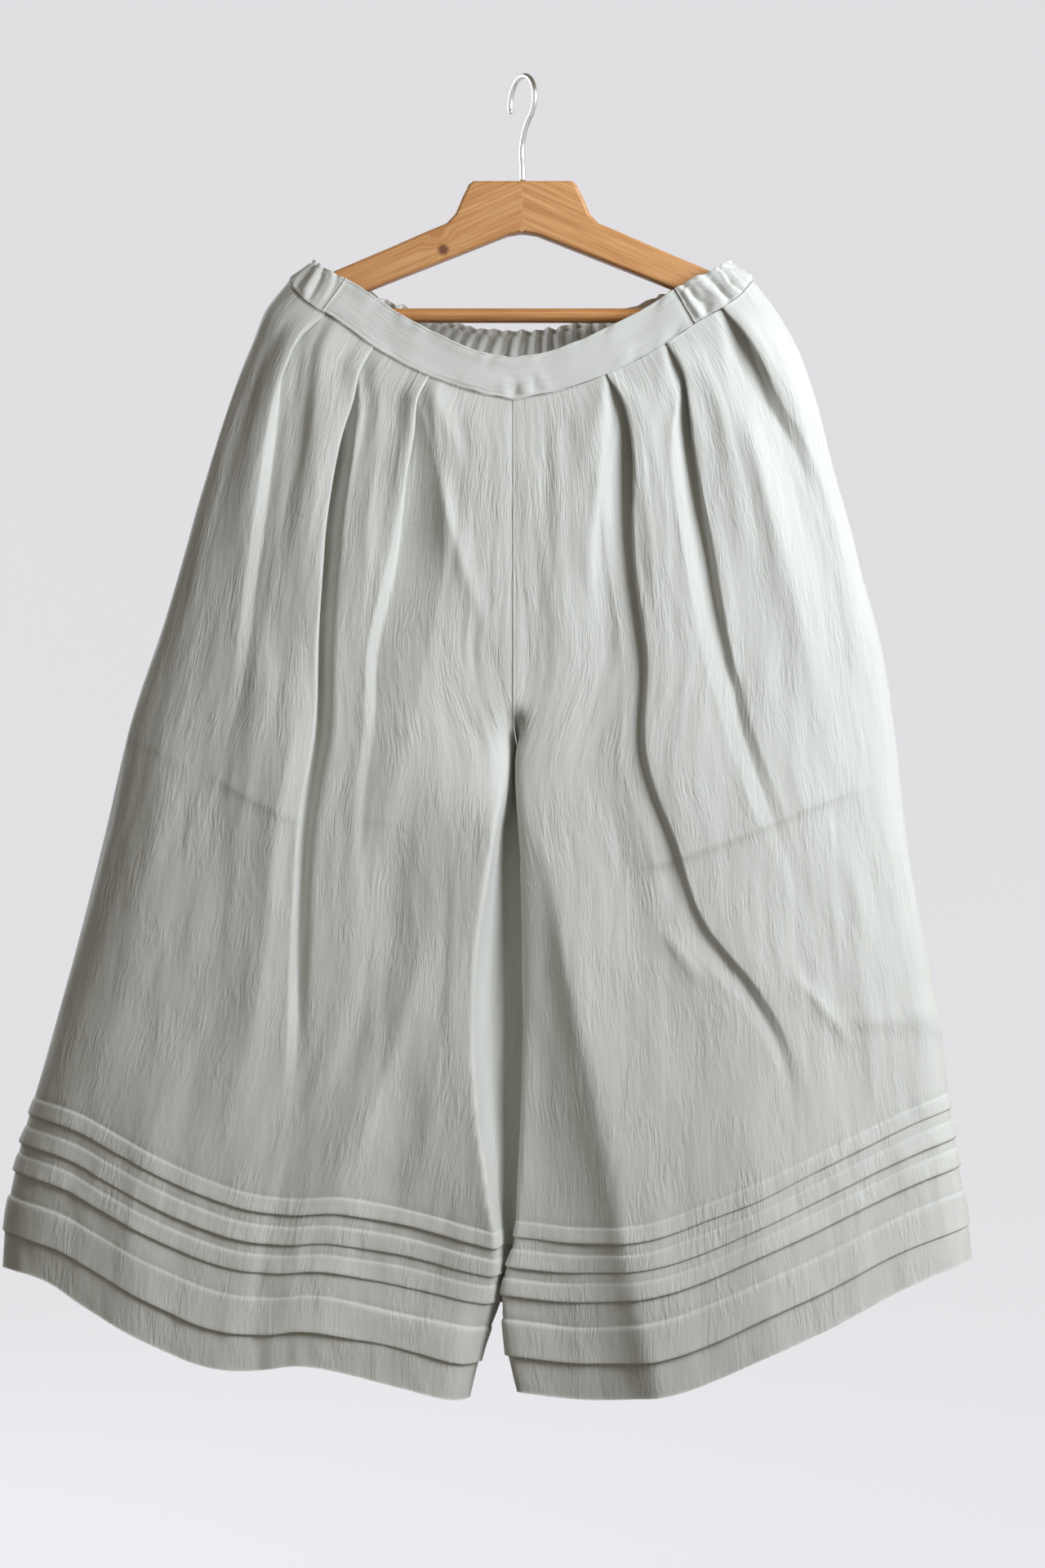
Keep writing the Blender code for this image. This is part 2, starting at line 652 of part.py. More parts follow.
def hook_path():
    """The hook's middle line: a stem with a swan neck and three quarters of a turn of wire."""
    outward = np.array((math.cos(HOOK_TURN), -math.sin(HOOK_TURN)))
    centre_z = WIRE_RADIUS - HOOK_RADIUS
    angles = np.linspace(BOW_FROM, BOW_TO, BOW_POINTS)
    bow = HOOK_RADIUS * np.stack((np.cos(angles), np.sin(angles)), axis=1)
    bow[:, 1] += centre_z
    foot = (0.0, ARM_MIDDLE_TOP_Z + SEAM_GAP)
    flat = np.concatenate(((foot,), NECK, bow))
    return np.stack((flat[:, 0] * outward[0], flat[:, 0] * outward[1], flat[:, 1]), axis=1)


def clear_scene():
    """Start from an empty scene."""
    for old in list(bpy.data.objects):
        bpy.data.objects.remove(old, do_unlink=True)


def build():
    clear_scene()
    cloth = material("linen_cotton", LINEN, 0.9)
    wood = material("cedar", CEDAR, 0.55)
    wire = material("steel_wire", STEEL, 0.3, 1.0)
    pleats = {"right": RIGHT_PLEATS, "left": LEFT_PLEATS}
    swells = {"right": RIGHT_SWELLS, "left": LEFT_SWELLS}
    fronts = {name: Leg(name, -1.0) for name in ("right", "left")}
    backs = {name: Leg(name, 1.0) for name in ("right", "left")}

    for name, leg in fronts.items():
        inner, outer = panel(leg, FRONT_FALLS, lambda part, fall, own=name: front_row(
            part, fall, pleats[own], swells[own], FRONT_COUNTS))
        add_wall("front_panel_" + name, inner, outer, cloth, name == "left")
    for name, leg in backs.items():
        inner, outer = panel(leg, BACK_FALLS, lambda part, fall: back_row(part, fall, BACK_COUNTS))
        add_wall("back_panel_" + name, inner, outer, cloth, name == "right")

    seam_fall = BAND_FALL * SEAM_GAP / BAND_HEIGHT
    falls = (seam_fall, 0.5 * BAND_FALL, BAND_FALL)
    flat_band = (
        (fronts["right"], BAND_END_RIGHT, 1.0, 14),
        (fronts["left"], 1.0, BAND_END_LEFT, 13),
    )
    inner, outer = strip(flat_band, falls, 0, BAND_WALL)
    add_wall("waistband_front", inner, outer, cloth, True)
    gap_share = SEAM_GAP / fronts["right"].length(0.0)
    gathered = (
        (fronts["right"], BAND_END_RIGHT - gap_share, 0.0, 22),
        (backs["right"], 0.0, 1.0, 76),
        (backs["left"], 1.0, 0.0, 76),
        (fronts["left"], 0.0, BAND_END_LEFT - gap_share, 26),
    )
    inner, outer = strip(gathered, falls, BAND_GATHERS, BAND_WALL)
    add_wall("waistband_elastic", inner, outer, cloth, False)

    for name, side in (("right", -1.0), ("left", 1.0)):
        leg = fronts[name]
        inside = abs(leg.section("side_x", TIP_FALL))
        add_arm("hanger_arm_" + name, side, inside - TIP_CLEAR, wood)
    bar_end = HEEL_X - SEAM_GAP
    bar_path = [(x, 0.0, BAR_Z) for x in (-bar_end, 0.0, bar_end)]
    add_tube("hanger_bar", bar_path, BAR_RADIUS, 24, wood)
    add_tube("hanger_hook", hook_path(), WIRE_RADIUS, 10, wire)


build()
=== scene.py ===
"""Pleated linen culottes hung by the waistband on a cedar trouser hanger.

Tables are in millimetres unless a name says otherwise, and meshes are made in metres. +Z is up,
the front faces -Y, and right and left are the wearer's, so the right leg lies at -X. A place on
a leg is its fall, 0 at the waist seam and 1 at the hem, and its share of the way across, from the
side seam to the centre seam or inseam.
"""

import math

import bpy
import numpy as np
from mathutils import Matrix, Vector


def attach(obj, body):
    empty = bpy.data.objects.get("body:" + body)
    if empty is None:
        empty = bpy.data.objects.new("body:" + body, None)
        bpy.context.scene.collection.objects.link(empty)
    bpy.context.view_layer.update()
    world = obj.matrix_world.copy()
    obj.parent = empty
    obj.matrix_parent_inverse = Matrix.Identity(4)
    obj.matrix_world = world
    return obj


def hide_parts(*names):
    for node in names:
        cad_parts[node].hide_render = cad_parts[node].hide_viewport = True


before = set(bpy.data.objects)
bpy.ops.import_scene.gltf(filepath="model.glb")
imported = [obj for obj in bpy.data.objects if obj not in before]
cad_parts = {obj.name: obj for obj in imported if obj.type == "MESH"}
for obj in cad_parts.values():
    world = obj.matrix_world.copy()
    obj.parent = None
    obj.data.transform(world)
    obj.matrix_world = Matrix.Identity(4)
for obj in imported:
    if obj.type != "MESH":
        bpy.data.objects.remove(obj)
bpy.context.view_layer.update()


# ---- The cloth ----
# Washed linen and cotton, woven plain and crinkled lengthwise when it was dried. It gives a dry,
# matt face with fine uneven ridges down the legs and faint warm and cool streaks of yarn.

CREASE_WIDTH_M = 0.0048
CREASE_LENGTH_M = 0.030
CREASE_DRIFT_M = (0.010, 0.020, 0.0)
YARN_WIDTH_M = 0.0012


def colour(code):
    """An sRGB hex colour as linear red, green, blue and alpha."""
    value = np.array([int(code[at:at + 2], 16) for at in (1, 3, 5)]) / 255.0
    linear = np.where(value <= 0.04045, value / 12.92, ((value + 0.055) / 1.055) ** 2.4)
    return (*linear.tolist(), 1.0)


def connect(tree, node, inputs):
    """A node's sockets set to values or linked to other sockets, or to a node's first outlet."""
    for name, value in inputs.items():
        if isinstance(value, bpy.types.Node):
            value = value.outputs[0]
        if isinstance(value, bpy.types.NodeSocket):
            tree.links.new(value, node.inputs[name])
        else:
            node.inputs[name].default_value = value


def add_node(tree, kind, inputs=None, **settings):
    """A node with its settings, its sockets set or linked."""
    made = tree.nodes.new("ShaderNode" + kind)
    for name, value in settings.items():
        setattr(made, name, value)
    connect(tree, made, inputs or {})
    return made


def new_material(name):
    """A material with nodes, its tree and its Principled shader."""
    made = bpy.data.materials.new(name)
    made.use_nodes = True
    return made, made.node_tree, made.node_tree.nodes["Principled BSDF"]


def crinkled_linen(name, light, dark, crinkle_depth):
    """Crinkled plain weave, laid along a piece's own UV map, which is in metres."""
    made, tree, shader = new_material(name)
    straight = add_node(tree, "TexCoord").outputs["UV"]

    def pattern(place, width, length, detail, outlet="Fac"):
        """Noise stretched to features of a given width and length in metres."""
        scaled = add_node(tree, "Mapping", {
            "Vector": place, "Scale": (1.0 / width, 1.0 / length, 1.0)})
        noise = add_node(tree, "TexNoise", {
            "Vector": scaled, "Scale": 1.0, "Detail": detail, "Roughness": 0.55})
        return noise.outputs[outlet]

    # The creases wander to either side and run aslant: their place is shifted by a broad noise
    drift = pattern(straight, 0.040, 0.055, 1.0, "Color")
    centred = add_node(tree, "VectorMath", {0: drift, 1: (0.5, 0.5, 0.5)}, operation="SUBTRACT")
    place = add_node(tree, "VectorMath", {
        0: centred, 1: CREASE_DRIFT_M, 2: straight}, operation="MULTIPLY_ADD")

    # A crease runs where the noise crosses its middle: a narrow valley between rounded ribs
    rough = add_node(tree, "Math", {
        0: pattern(place, CREASE_WIDTH_M, CREASE_LENGTH_M, 2.0), 1: 0.5}, operation="SUBTRACT")
    folded = add_node(tree, "Math", {0: rough}, operation="ABSOLUTE")
    ribs = add_node(tree, "MapRange", {"Value": folded, "From Max": 0.16})
    worked = add_node(tree, "MapRange", {
        "Value": pattern(place, 0.030, 0.055, 1.5), "From Min": 0.40, "From Max": 0.62,
        "To Min": 0.10})
    fine = add_node(tree, "Math", {0: ribs, 1: worked}, operation="MULTIPLY")
    broad = pattern(place, 1.9 * CREASE_WIDTH_M, 1.2 * CREASE_LENGTH_M, 2.0)
    # Threads are 0.4 mm apart, too fine to show, so the yarn is drawn three times as coarse
    yarn = add_node(tree, "Math", {
        0: pattern(straight, YARN_WIDTH_M, 30.0 * YARN_WIDTH_M, 1.0),
        1: pattern(straight, 16.0 * YARN_WIDTH_M, YARN_WIDTH_M, 1.0)}, operation="ADD")

    streaks = add_node(tree, "MapRange", {
        "Value": pattern(straight, 1.3 * YARN_WIDTH_M, 0.110, 2.0),
        "From Min": 0.30, "From Max": 0.70})
    tint = add_node(tree, "Mix", {
        "Factor": streaks, 6: colour(dark), 7: colour(light)}, data_type="RGBA")
    patches = add_node(tree, "MapRange", {
        "Value": pattern(straight, 0.09, 0.16, 2.0), "From Min": 0.3, "From Max": 0.7,
        "To Min": 0.975, "To Max": 1.025})
    shade = add_node(tree, "VectorMath", {
        "Vector": tint.outputs[2], "Scale": patches}, operation="SCALE")

    normal = {}
    for height, strength, depth in ((broad, 1.0, 0.60), (fine, 1.0, 0.24), (yarn, 0.6, 0.05)):
        bump = add_node(tree, "Bump", {
            "Height": height, "Strength": strength, "Distance": depth * crinkle_depth, **normal})
        normal = {"Normal": bump}
    connect(tree, shader, {
        **normal, "Base Color": shade, "Roughness": 0.84, "IOR": 1.5,
        "Specular IOR Level": 0.28, "Sheen Weight": 0.12, "Sheen Roughness": 0.45})
    return made


panel_linen = crinkled_linen("crinkled_linen", "#cbccc7", "#c4c4bc", 0.0012)


# ---- The form of a hanging leg ----
# Each leg is cut as a front and a back, flared to the hem. It hangs as a flattened tube whose
# inner edge stands forward below the fork; the tables give that tube from the waist to the hem.

MM = 0.001
SEAM_GAP = 0.3
CENTRE_SEAM_X = -7.5
INSEAM_Y = -4.0
PANEL_LENGTH = 812.0
TOP_FALL = 0.0004
BAND_FALL = -0.04
FORK_FALL = 0.304
CROTCH_FALL = 0.36
LEG_FALL = 0.56
INNER_SHARE = 0.10
RIGHT, LEFT = "right", "left"
FRONT, BACK = -1.0, 1.0


def table(names, rows):
    """A table's columns as arrays, by name."""
    return dict(zip(names, np.array(rows, float).T))


WAIST = table(("across", "front_z", "back_z", "rise"), (
    (0.00, -165.5, -165.5, 15.5),
    (0.04, -166, -166, 15.5),
    (0.09, -170.5, -170, 17),
    (0.15, -182, -179, 22.5),
    (0.20, -190, -185, 26),
    (0.28, -199.5, -193, 28),
    (0.43, -221, -209, 31.5),
    (0.65, -245.5, -224, 34),
    (0.84, -259, -232, 33),
    (1.00, -265.7, -235, 34),
))
HEM = table(("across", "right_z", "left_z"), (
    (0.00, -966, -961),
    (0.06, -967, -961.5),
    (0.16, -977, -973),
    (0.22, -991, -984),
    (0.34, -1019, -1008),
    (0.46, -1039, -1031),
    (0.54, -1042.5, -1046),
    (0.62, -1039.5, -1059),
    (0.72, -1047.5, -1067),
    (0.82, -1058.5, -1069),
    (0.92, -1070, -1065),
    (1.00, -1074, -1062),
))
SECTION_COLUMNS = ("fall", "side_x", "depth", "edge_x", "edge_depth", "seam_x")
SECTIONS = {RIGHT: table(SECTION_COLUMNS, (
    (-0.04, -168, 25, -28, 27, -7.5),
    (0.00, -190, 29, -28, 31, -7.5),
    (0.03, -209, 33, -28, 34, -7.5),
    (0.06, -218.5, 36, -28, 36, -7.5),
    (0.12, -234.5, 39, -28, 38, -7.5),
    (0.20, -255, 42, -26, 38, -7.5),
    (0.30, -279, 44, -16, 38, -7.5),
    (0.36, -295, 45, -22, 42, -3.2),
    (0.45, -319, 46, -38, 46, 1.5),
    (0.55, -338, 47, -56, 48, 5.5),
    (0.70, -368, 50, -58, 50, 5),
    (0.79, -388, 53, -43, 50, 0.5),
    (0.85, -402, 54, -33, 48, -7),
    (0.90, -412, 55, -38, 46, -17),
    (0.96, -420.5, 56, -50, 46, -35),
    (1.00, -423, 56, -58, 44, -43),
)), LEFT: table(SECTION_COLUMNS, (
    (-0.04, 167, 25, 12, 27, -7.5),
    (0.00, 188, 29, 12, 31, -7.5),
    (0.03, 206, 33, 12, 34, -7.5),
    (0.06, 220, 36, 12, 36, -7.5),
    (0.12, 237, 39, 12, 38, -7.5),
    (0.20, 253.5, 42, 11, 38, -7.5),
    (0.30, 276, 44, 3, 38, -7.5),
    (0.36, 290, 45, -9, 38, -2.8),
    (0.45, 302, 47, -5.5, 34, 8),
    (0.55, 311, 50, -3, 32, 11),
    (0.70, 331, 53, -7, 31, 10),
    (0.79, 342, 54, -10, 31, 6),
    (0.85, 348.5, 55, -13.5, 31, 1.6),
    (0.90, 354.5, 56, -23.5, 31, -6),
    (0.96, 362, 56, -18, 31, -3),
    (1.00, 366, 56, -10.5, 31, 3),
))}
PLAN = table(("across", "of_top_depth", "of_low_depth", "of_edge_depth"), (
    (0.00, 0.00, 0.00, 0.00),
    (0.00, 0.35, 0.24, 0.00),
    (0.03, 0.95, 0.60, 0.00),
    (0.17, 1.03, 0.84, 0.00),
    (0.42, 1.00, 1.06, 0.00),
    (0.68, 0.50, 0.56, 0.50),
    (0.93, 0.00, 0.00, 1.00),
))
PLAN_SAMPLES = 500
PLAN_CHANGES = (0.04, 0.40)
SEAM_LEAD = 4.0
INSEAM_LEAD = 14.0
EDGE_BULGE = 2.0
RIDGE_OF_EDGE = 0.64
RIDGE_OF_REACH = 0.67
RIDGE_STANDS_OUT = 9.0
RIDGE_FADES_X = 60.0
RIDGE_FADES_Y = 95.0
RIDGE_FALLS = (0.34, 0.44, 0.80, 0.93)
NUDGE = 0.004
USUAL_CREST = 0.40
CREASE_SWELLS = (0.0, 0.3, 0.55, 1.0)
FROM_BAND_FADES = 0.45
TO_HEM_SWELLS = 0.4
FOLD_LINE_SHOWS = (-0.05, 0.15, 0.85, 1.05)


def smooth_step(low, high, value):
    """0 below low, 1 above high, eased between as 3t^2 - 2t^3."""
    part = np.clip((value - low) / (high - low), 0.0, 1.0)
    return part * part * (3.0 - 2.0 * part)


def window(rises, risen, falls, fallen, value):
    """0 outside, 1 between risen and falls, eased at both ends."""
    return smooth_step(rises, risen, value) * (1.0 - smooth_step(falls, fallen, value))


def summed(steps):
    """The running sum along each row, from 0."""
    return np.concatenate((np.zeros((len(steps), 1)), np.cumsum(steps, axis=1)), axis=1)


def along_rows(at, runs, values):
    """Each row's values, read off at distances along it."""
    return np.stack([np.interp(*row) for row in zip(at, runs, values)])


def smooth_curve(knots, values, at):
    """Cubic curve through the knots, its slope at each the mean slope of its neighbours."""
    slopes = np.gradient(values, knots)
    at = np.clip(at, knots[0], knots[-1])
    index = np.clip(np.searchsorted(knots, at, side="right") - 1, 0, len(knots) - 2)
    span = knots[index + 1] - knots[index]
    part = (at - knots[index]) / span
    square = part * part
    cube = square * part
    return ((2 * cube - 3 * square + 1) * values[index]
            + (cube - 2 * square + part) * span * slopes[index]
            + (3 * square - 2 * cube) * values[index + 1]
            + (cube - square) * span * slopes[index + 1])


def curve(columns, name, at):
    """One column of a table as a smooth curve over its first column."""
    return smooth_curve(next(iter(columns.values())), columns[name], at)


def spline_basis(count, samples, degree=3):
    """Weights of count control points of a clamped B-spline at even samples."""
    inner = np.arange(1, count - degree) / (count - degree)
    knots = np.concatenate((np.zeros(degree + 1), inner, np.ones(degree + 1)))
    at = np.linspace(0.0, 1.0 - 1e-9, samples)[:, None]
    basis = ((at >= knots[:-1]) & (at < knots[1:])).astype(float)
    for order in range(1, degree + 1):
        fewer = basis.shape[1] - 1
        low = knots[:fewer + 1]
        width = knots[order:order + fewer + 1] - low
        share = np.where(width > 0, (at - low) / np.where(width > 0, width, 1.0), 0.0)
        basis = share[:, :-1] * basis[:, :-1] + (1.0 - share[:, 1:]) * basis[:, 1:]
    return basis


PLAN_BASIS = spline_basis(len(PLAN["across"]) + 3, PLAN_SAMPLES)


def leg_plans(side, face, falls):
    """Each row's path seen from above and the distance run along it.

    A B-spline turns round the side, crosses the leg, turns at the inner edge and ends at the
    centre seam, or below the fork round the crotch at the inseam.
    """
    side_x, depth, edge, edge_depth, seam = (
        curve(SECTIONS[side], name, falls) for name in SECTION_COLUMNS[1:])
    inward = 1.0 if side == RIGHT else -1.0
    opened = smooth_step(FORK_FALL, CROTCH_FALL, falls)
    turn = opened * math.pi / 2
    apart = 0.5 * SEAM_GAP
    joined = CENTRE_SEAM_X + (seam - CENTRE_SEAM_X) * opened - inward * apart
    seam = np.where(falls < CROTCH_FALL, joined, seam)
    seam_depth = edge_depth + (face * INSEAM_Y + apart - edge_depth) * opened
    lead = SEAM_LEAD + (INSEAM_LEAD - SEAM_LEAD) * opened
    outer_x = side_x[:, None] + (edge - side_x)[:, None] * PLAN["across"]
    lower = smooth_step(*PLAN_CHANGES, falls)[:, None]
    of_depth = PLAN["of_top_depth"] * (1.0 - lower) + PLAN["of_low_depth"] * lower
    outer_y = depth[:, None] * of_depth + edge_depth[:, None] * PLAN["of_edge_depth"]
    outer_y[:, 0] = apart
    ends = (
        (edge + inward * EDGE_BULGE * opened, edge_depth - opened),
        (seam - inward * lead * np.cos(turn), seam_depth + lead * np.sin(turn)),
        (seam, seam_depth),
    )
    control = np.concatenate((
        np.stack((outer_x, outer_y), axis=-1),
        np.stack([np.stack(end, axis=-1) for end in ends], axis=1)), axis=1)
    path = np.einsum("sk,rkc->rsc", PLAN_BASIS, control)
    path[..., 1] *= face
    return path, summed(np.hypot(*np.moveaxis(np.diff(path, axis=1), -1, 0)))


def leg_lengths(side, face, falls):
    """The length of each row, from the side seam to the centre seam or inseam."""
    return leg_plans(side, face, falls)[1][:, -1]


def inner_ridge(falls, at, x, y, path, runs):
    """The right front bent sharply at its inner edge, and hollow from there to the inseam.

    From the seam, x goes as 1 - (1 - share)^1.6 and y as share^2.2 to the ridge.
    """
    edge_x = curve(SECTIONS[RIGHT], "edge_x", falls)[:, None]
    ridge_x = RIDGE_OF_EDGE * edge_x
    edge_y = -curve(SECTIONS[RIGHT], "edge_depth", falls)[:, None]
    ridge_y = edge_y - RIDGE_STANDS_OUT
    seam_x = path[:, -1:, 0]
    seam_y = path[:, -1:, 1]
    reach = RIDGE_OF_REACH * np.hypot(edge_x - seam_x, edge_y - seam_y)
    from_seam = runs[:, -1:] - at
    share = np.clip(from_seam / reach, 0.0, 1.0)
    plain_x = along_rows(runs[:, -1:] - reach, runs, path[..., 0])
    beyond = from_seam - reach
    shifted = x + (ridge_x - plain_x) * (1.0 - smooth_step(0.0, RIDGE_FADES_X, beyond))
    levelled = y + (ridge_y - y) * (1.0 - smooth_step(0.0, RIDGE_FADES_Y, beyond))
    bent_x = seam_x + (ridge_x - seam_x) * (1.0 - (1.0 - share) ** 1.6)
    bent_y = seam_y + (ridge_y - seam_y) * share ** 2.2
    lower = window(*RIDGE_FALLS, falls)[:, None]
    return (x + (np.where(beyond < 0.0, bent_x, shifted) - x) * lower,
            y + (np.where(beyond < 0.0, bent_y, levelled) - y) * lower)


def plain_leg(side, face, falls, across):
    """Points of the leg without folds, for a fall to each row and shares across it."""
    path, runs = leg_plans(side, face, falls)
    at = across * runs[:, -1:]
    x, y = (along_rows(at, runs, path[..., axis]) for axis in (0, 1))
    if side == RIGHT and face == FRONT:
        x, y = inner_ridge(falls, at, x, y, path, runs)
    down = np.maximum(falls, 0.0)[:, None]
    front_z = curve(WAIST, "front_z", across)
    z = front_z + (curve(HEM, side + "_z", across) - front_z) * down
    if face == BACK:
        lower = curve(WAIST, "back_z", across) - front_z
        z = z + lower * (1.0 - smooth_step(0.0, CROTCH_FALL, down))
    z = z + curve(WAIST, "rise", across) * np.minimum(falls, 0.0)[:, None] / BAND_FALL
    return np.stack((x, y, z), axis=-1)


def unit(vectors):
    """Vectors scaled to length one."""
    return vectors / np.maximum(np.linalg.norm(vectors, axis=-1, keepdims=True), 1e-9)


def leg_frame(side, face, falls, across):
    """Plain points and the direction out of the cloth: the cross product of across and down."""
    high = np.maximum(falls - NUDGE, BAND_FALL)
    low = np.minimum(falls + NUDGE, 1.0)
    along = (plain_leg(side, face, falls, np.clip(across + NUDGE, 0.0, 1.0))
             - plain_leg(side, face, falls, np.clip(across - NUDGE, 0.0, 1.0)))
    down = plain_leg(side, face, low, across) - plain_leg(side, face, high, across)
    turned = face if side == RIGHT else -face
    return plain_leg(side, face, falls, across), unit(np.cross(along, down) * turned)


def soft_noise(u, v, seed):
    """Smooth noise from -1 to 1: random values on a unit lattice, eased between the points.

    With u and v in millimetres, u / 34 and v / 150 give swellings about 34 wide and 150 long.
    """
    values = np.random.default_rng(seed).uniform(-1.0, 1.0, (256, 256))
    low_u = np.floor(u).astype(int)
    low_v = np.floor(v).astype(int)
    part_u = smooth_step(0.0, 1.0, u - low_u)
    part_v = smooth_step(0.0, 1.0, v - low_v)

    def at(step_u, step_v):
        """The lattice's values so many steps from each point's low corner."""
        return values[(low_u + step_u) % 256, (low_v + step_v) % 256]

    top = at(0, 0) * (1.0 - part_u) + at(1, 0) * part_u
    bottom = at(0, 1) * (1.0 - part_u) + at(1, 1) * part_u
    return top * (1.0 - part_v) + bottom * part_v


def rounded_tent(distance, width_before, width_after, crest):
    """exp(-|d|/width) with a width to either side, its crest rounded over a share of the width."""
    width = np.where(distance < 0.0, width_before, width_after)
    return np.exp(crest - np.sqrt((distance / width) ** 2 + crest ** 2))


def creases(rows, falls, across, length):
    """Height of ridges and troughs, a row of the table for each.

    Each is a rounded tent that follows a parabola down the leg and swells and fades towards its
    ends. A row has the falls it runs between, its place across at its top, middle and foot, its
    widths towards the side and the centre, its height, and its crest where that isn't the usual.
    """
    height = np.zeros_like(across)
    for start, end, top, middle, foot, side_width, centre_width, peak, *own in rows:
        share = np.clip((falls - start) / (end - start), 0.0, 1.0)
        centre = (top * (1.0 - share) ** 2 + (4.0 * middle - top - foot) * share * (1.0 - share)
                  + foot * share ** 2)
        swell = window(*CREASE_SWELLS, share)
        if start <= 0.0:
            swell = 1.0 - smooth_step(FROM_BAND_FADES, 1.0, share)
        if end >= 1.0:
            swell = smooth_step(0.0, TO_HEM_SWELLS, share)
        swell = swell * ((falls >= start) & (falls <= end))
        distance = (across - centre[:, None]) * length[:, None]
        crest = own[0] if own else USUAL_CREST
        height += (peak * swell[:, None]
                   * rounded_tent(distance, side_width, centre_width, crest))
    return height


def fold_lines(rows, falls, across):
    """Height of creases that run across the leg, from having lain folded: rounded tents.

    A row has the places across it runs between, its falls there, its widths above and below, and
    its height.
    """
    height = np.zeros_like(across)
    for from_across, to_across, from_fall, to_fall, above, below, peak in rows:
        share = (across - from_across) / (to_across - from_across)
        inside = window(*FOLD_LINE_SHOWS, share)
        distance = (falls[:, None] - (from_fall + (to_fall - from_fall) * share)) * PANEL_LENGTH
        height += peak * inside * rounded_tent(distance, above, below, USUAL_CREST)
    return height


def grid_normals(points, outward):
    """Unit normals of a grid: the cross product of its two mean unit steps, turned outward."""
    def tangents(axis):
        """At each point the mean of the unit steps before and after it."""
        step = unit(np.diff(points, axis=axis))
        first = np.take(step, [0], axis=axis)
        last = np.take(step, [-1], axis=axis)
        return unit(np.concatenate((first, step), axis=axis)
                    + np.concatenate((step, last), axis=axis))

    normals = unit(np.cross(tangents(1), tangents(0)))
    sign = 1.0 if np.sum(normals * outward) > 0.0 else -1.0
    return normals * sign, sign


def grid_quads(index):
    """A face to each cell of a grid of point numbers, its corners in turn."""
    corners = (index[:-1, :-1], index[:-1, 1:], index[1:, 1:], index[1:, :-1])
    return np.stack([corner.ravel() for corner in corners], axis=1)


def ring_quads(index):
    """Faces between rings of point numbers, a row to each ring, closed all round."""
    return grid_quads(np.concatenate((index, index[:, :1]), axis=1))


def new_object(name, points_m, faces, finish, flat_faces=0):
    """A mesh in one material, shaded smooth but for the last few faces, which are flat ends."""
    mesh = bpy.data.meshes.new(name)
    mesh.from_pydata(points_m.reshape(-1, 3).tolist(), [], faces)
    mesh.polygons.foreach_set("use_smooth", np.arange(len(faces)) < len(faces) - flat_faces)
    mesh.materials.append(finish)
    made = bpy.data.objects.new(name, mesh)
    bpy.context.scene.collection.objects.link(made)
    return made


def cloth_shell(name, points, outward, thickness, uv, finish):
    """A closed shell of cloth: a grid of points moved half its thickness to either face."""
    normals, sign = grid_normals(points, outward)
    rows, columns = points.shape[:2]
    half = 0.5 * np.broadcast_to(thickness, (rows, columns))[..., None] * normals
    count = rows * columns
    index = np.arange(count).reshape(rows, columns)
    edge = np.concatenate((index[0, :], index[1:, -1], index[-1, -2::-1], index[-2:0:-1, 0]))
    after = np.roll(edge, -1)
    rim = np.stack((edge + count, edge, after, after + count), axis=1)
    faces = np.concatenate((grid_quads(index)[:, ::-1], grid_quads(index + count), rim[:, ::-1]))
    if sign < 0.0:
        faces = faces[:, ::-1]
    made = new_object(name, np.concatenate((points - half, points + half)) * MM, faces.tolist(),
                      finish)
    flat = np.concatenate((uv.reshape(-1, 2), uv.reshape(-1, 2)))
    layer = made.data.uv_layers.new(name="cloth")
    layer.data.foreach_set("uv", flat[faces.ravel()].ravel())
    return made


# ---- Front panels ----
# Two flared panels of crinkled linen, each with three knife pleats laid towards the side and
# sewn into the band; the cloth rolls over at each pleat and opens into soft folds. Three narrow
# tucks and a wide one are sewn round above the hem, each a true fold lying on the cloth below.

LINEN_THICKNESS = 0.6

# Each tuck: how high over the hem's edge its stitching and its fold lie, how far it stands out,
# and the heights of the plain rows below it
TUCKS = (
    (138, 125, 2, (120,)),
    (115, 101, 2.2, (96.5,)),
    (92, 78, 2.2, (74, 69, 64)),
    (58, 30, 2.6, (24, 18, 12, 6, 3, 1)),
)
EDGE_STANDS_OUT = 0.3
# A tuck's section: its share of the way from stitching to fold, a little more, and its share of
# the stand-out
TUCK_SECTION = table(("to_fold", "more", "share"), (
    (0, 1.2, 0.00),
    (0, 0, -0.08),
    (0, -1, 0.30),
    (0, -2.4, 0.52),
    (0, -4.5, 0.60),
    (0.5, 0, 0.74),
    (1, 3, 0.94),
    (1, 0.9, 1.02),
    (1, 0.1, 0.98),
    (1, -0.25, 0.80),
    (1, 0, 0.60),
    (1, 0.8, 0.46),
    (0.5, 0, 0.37),
    (0, -3, 0.28),
    (0, -2, 0.20),
    (0, -2.8, 0.08),
    (0.5, 0, 0.00),
    (1, -0.5, 0.00),
))

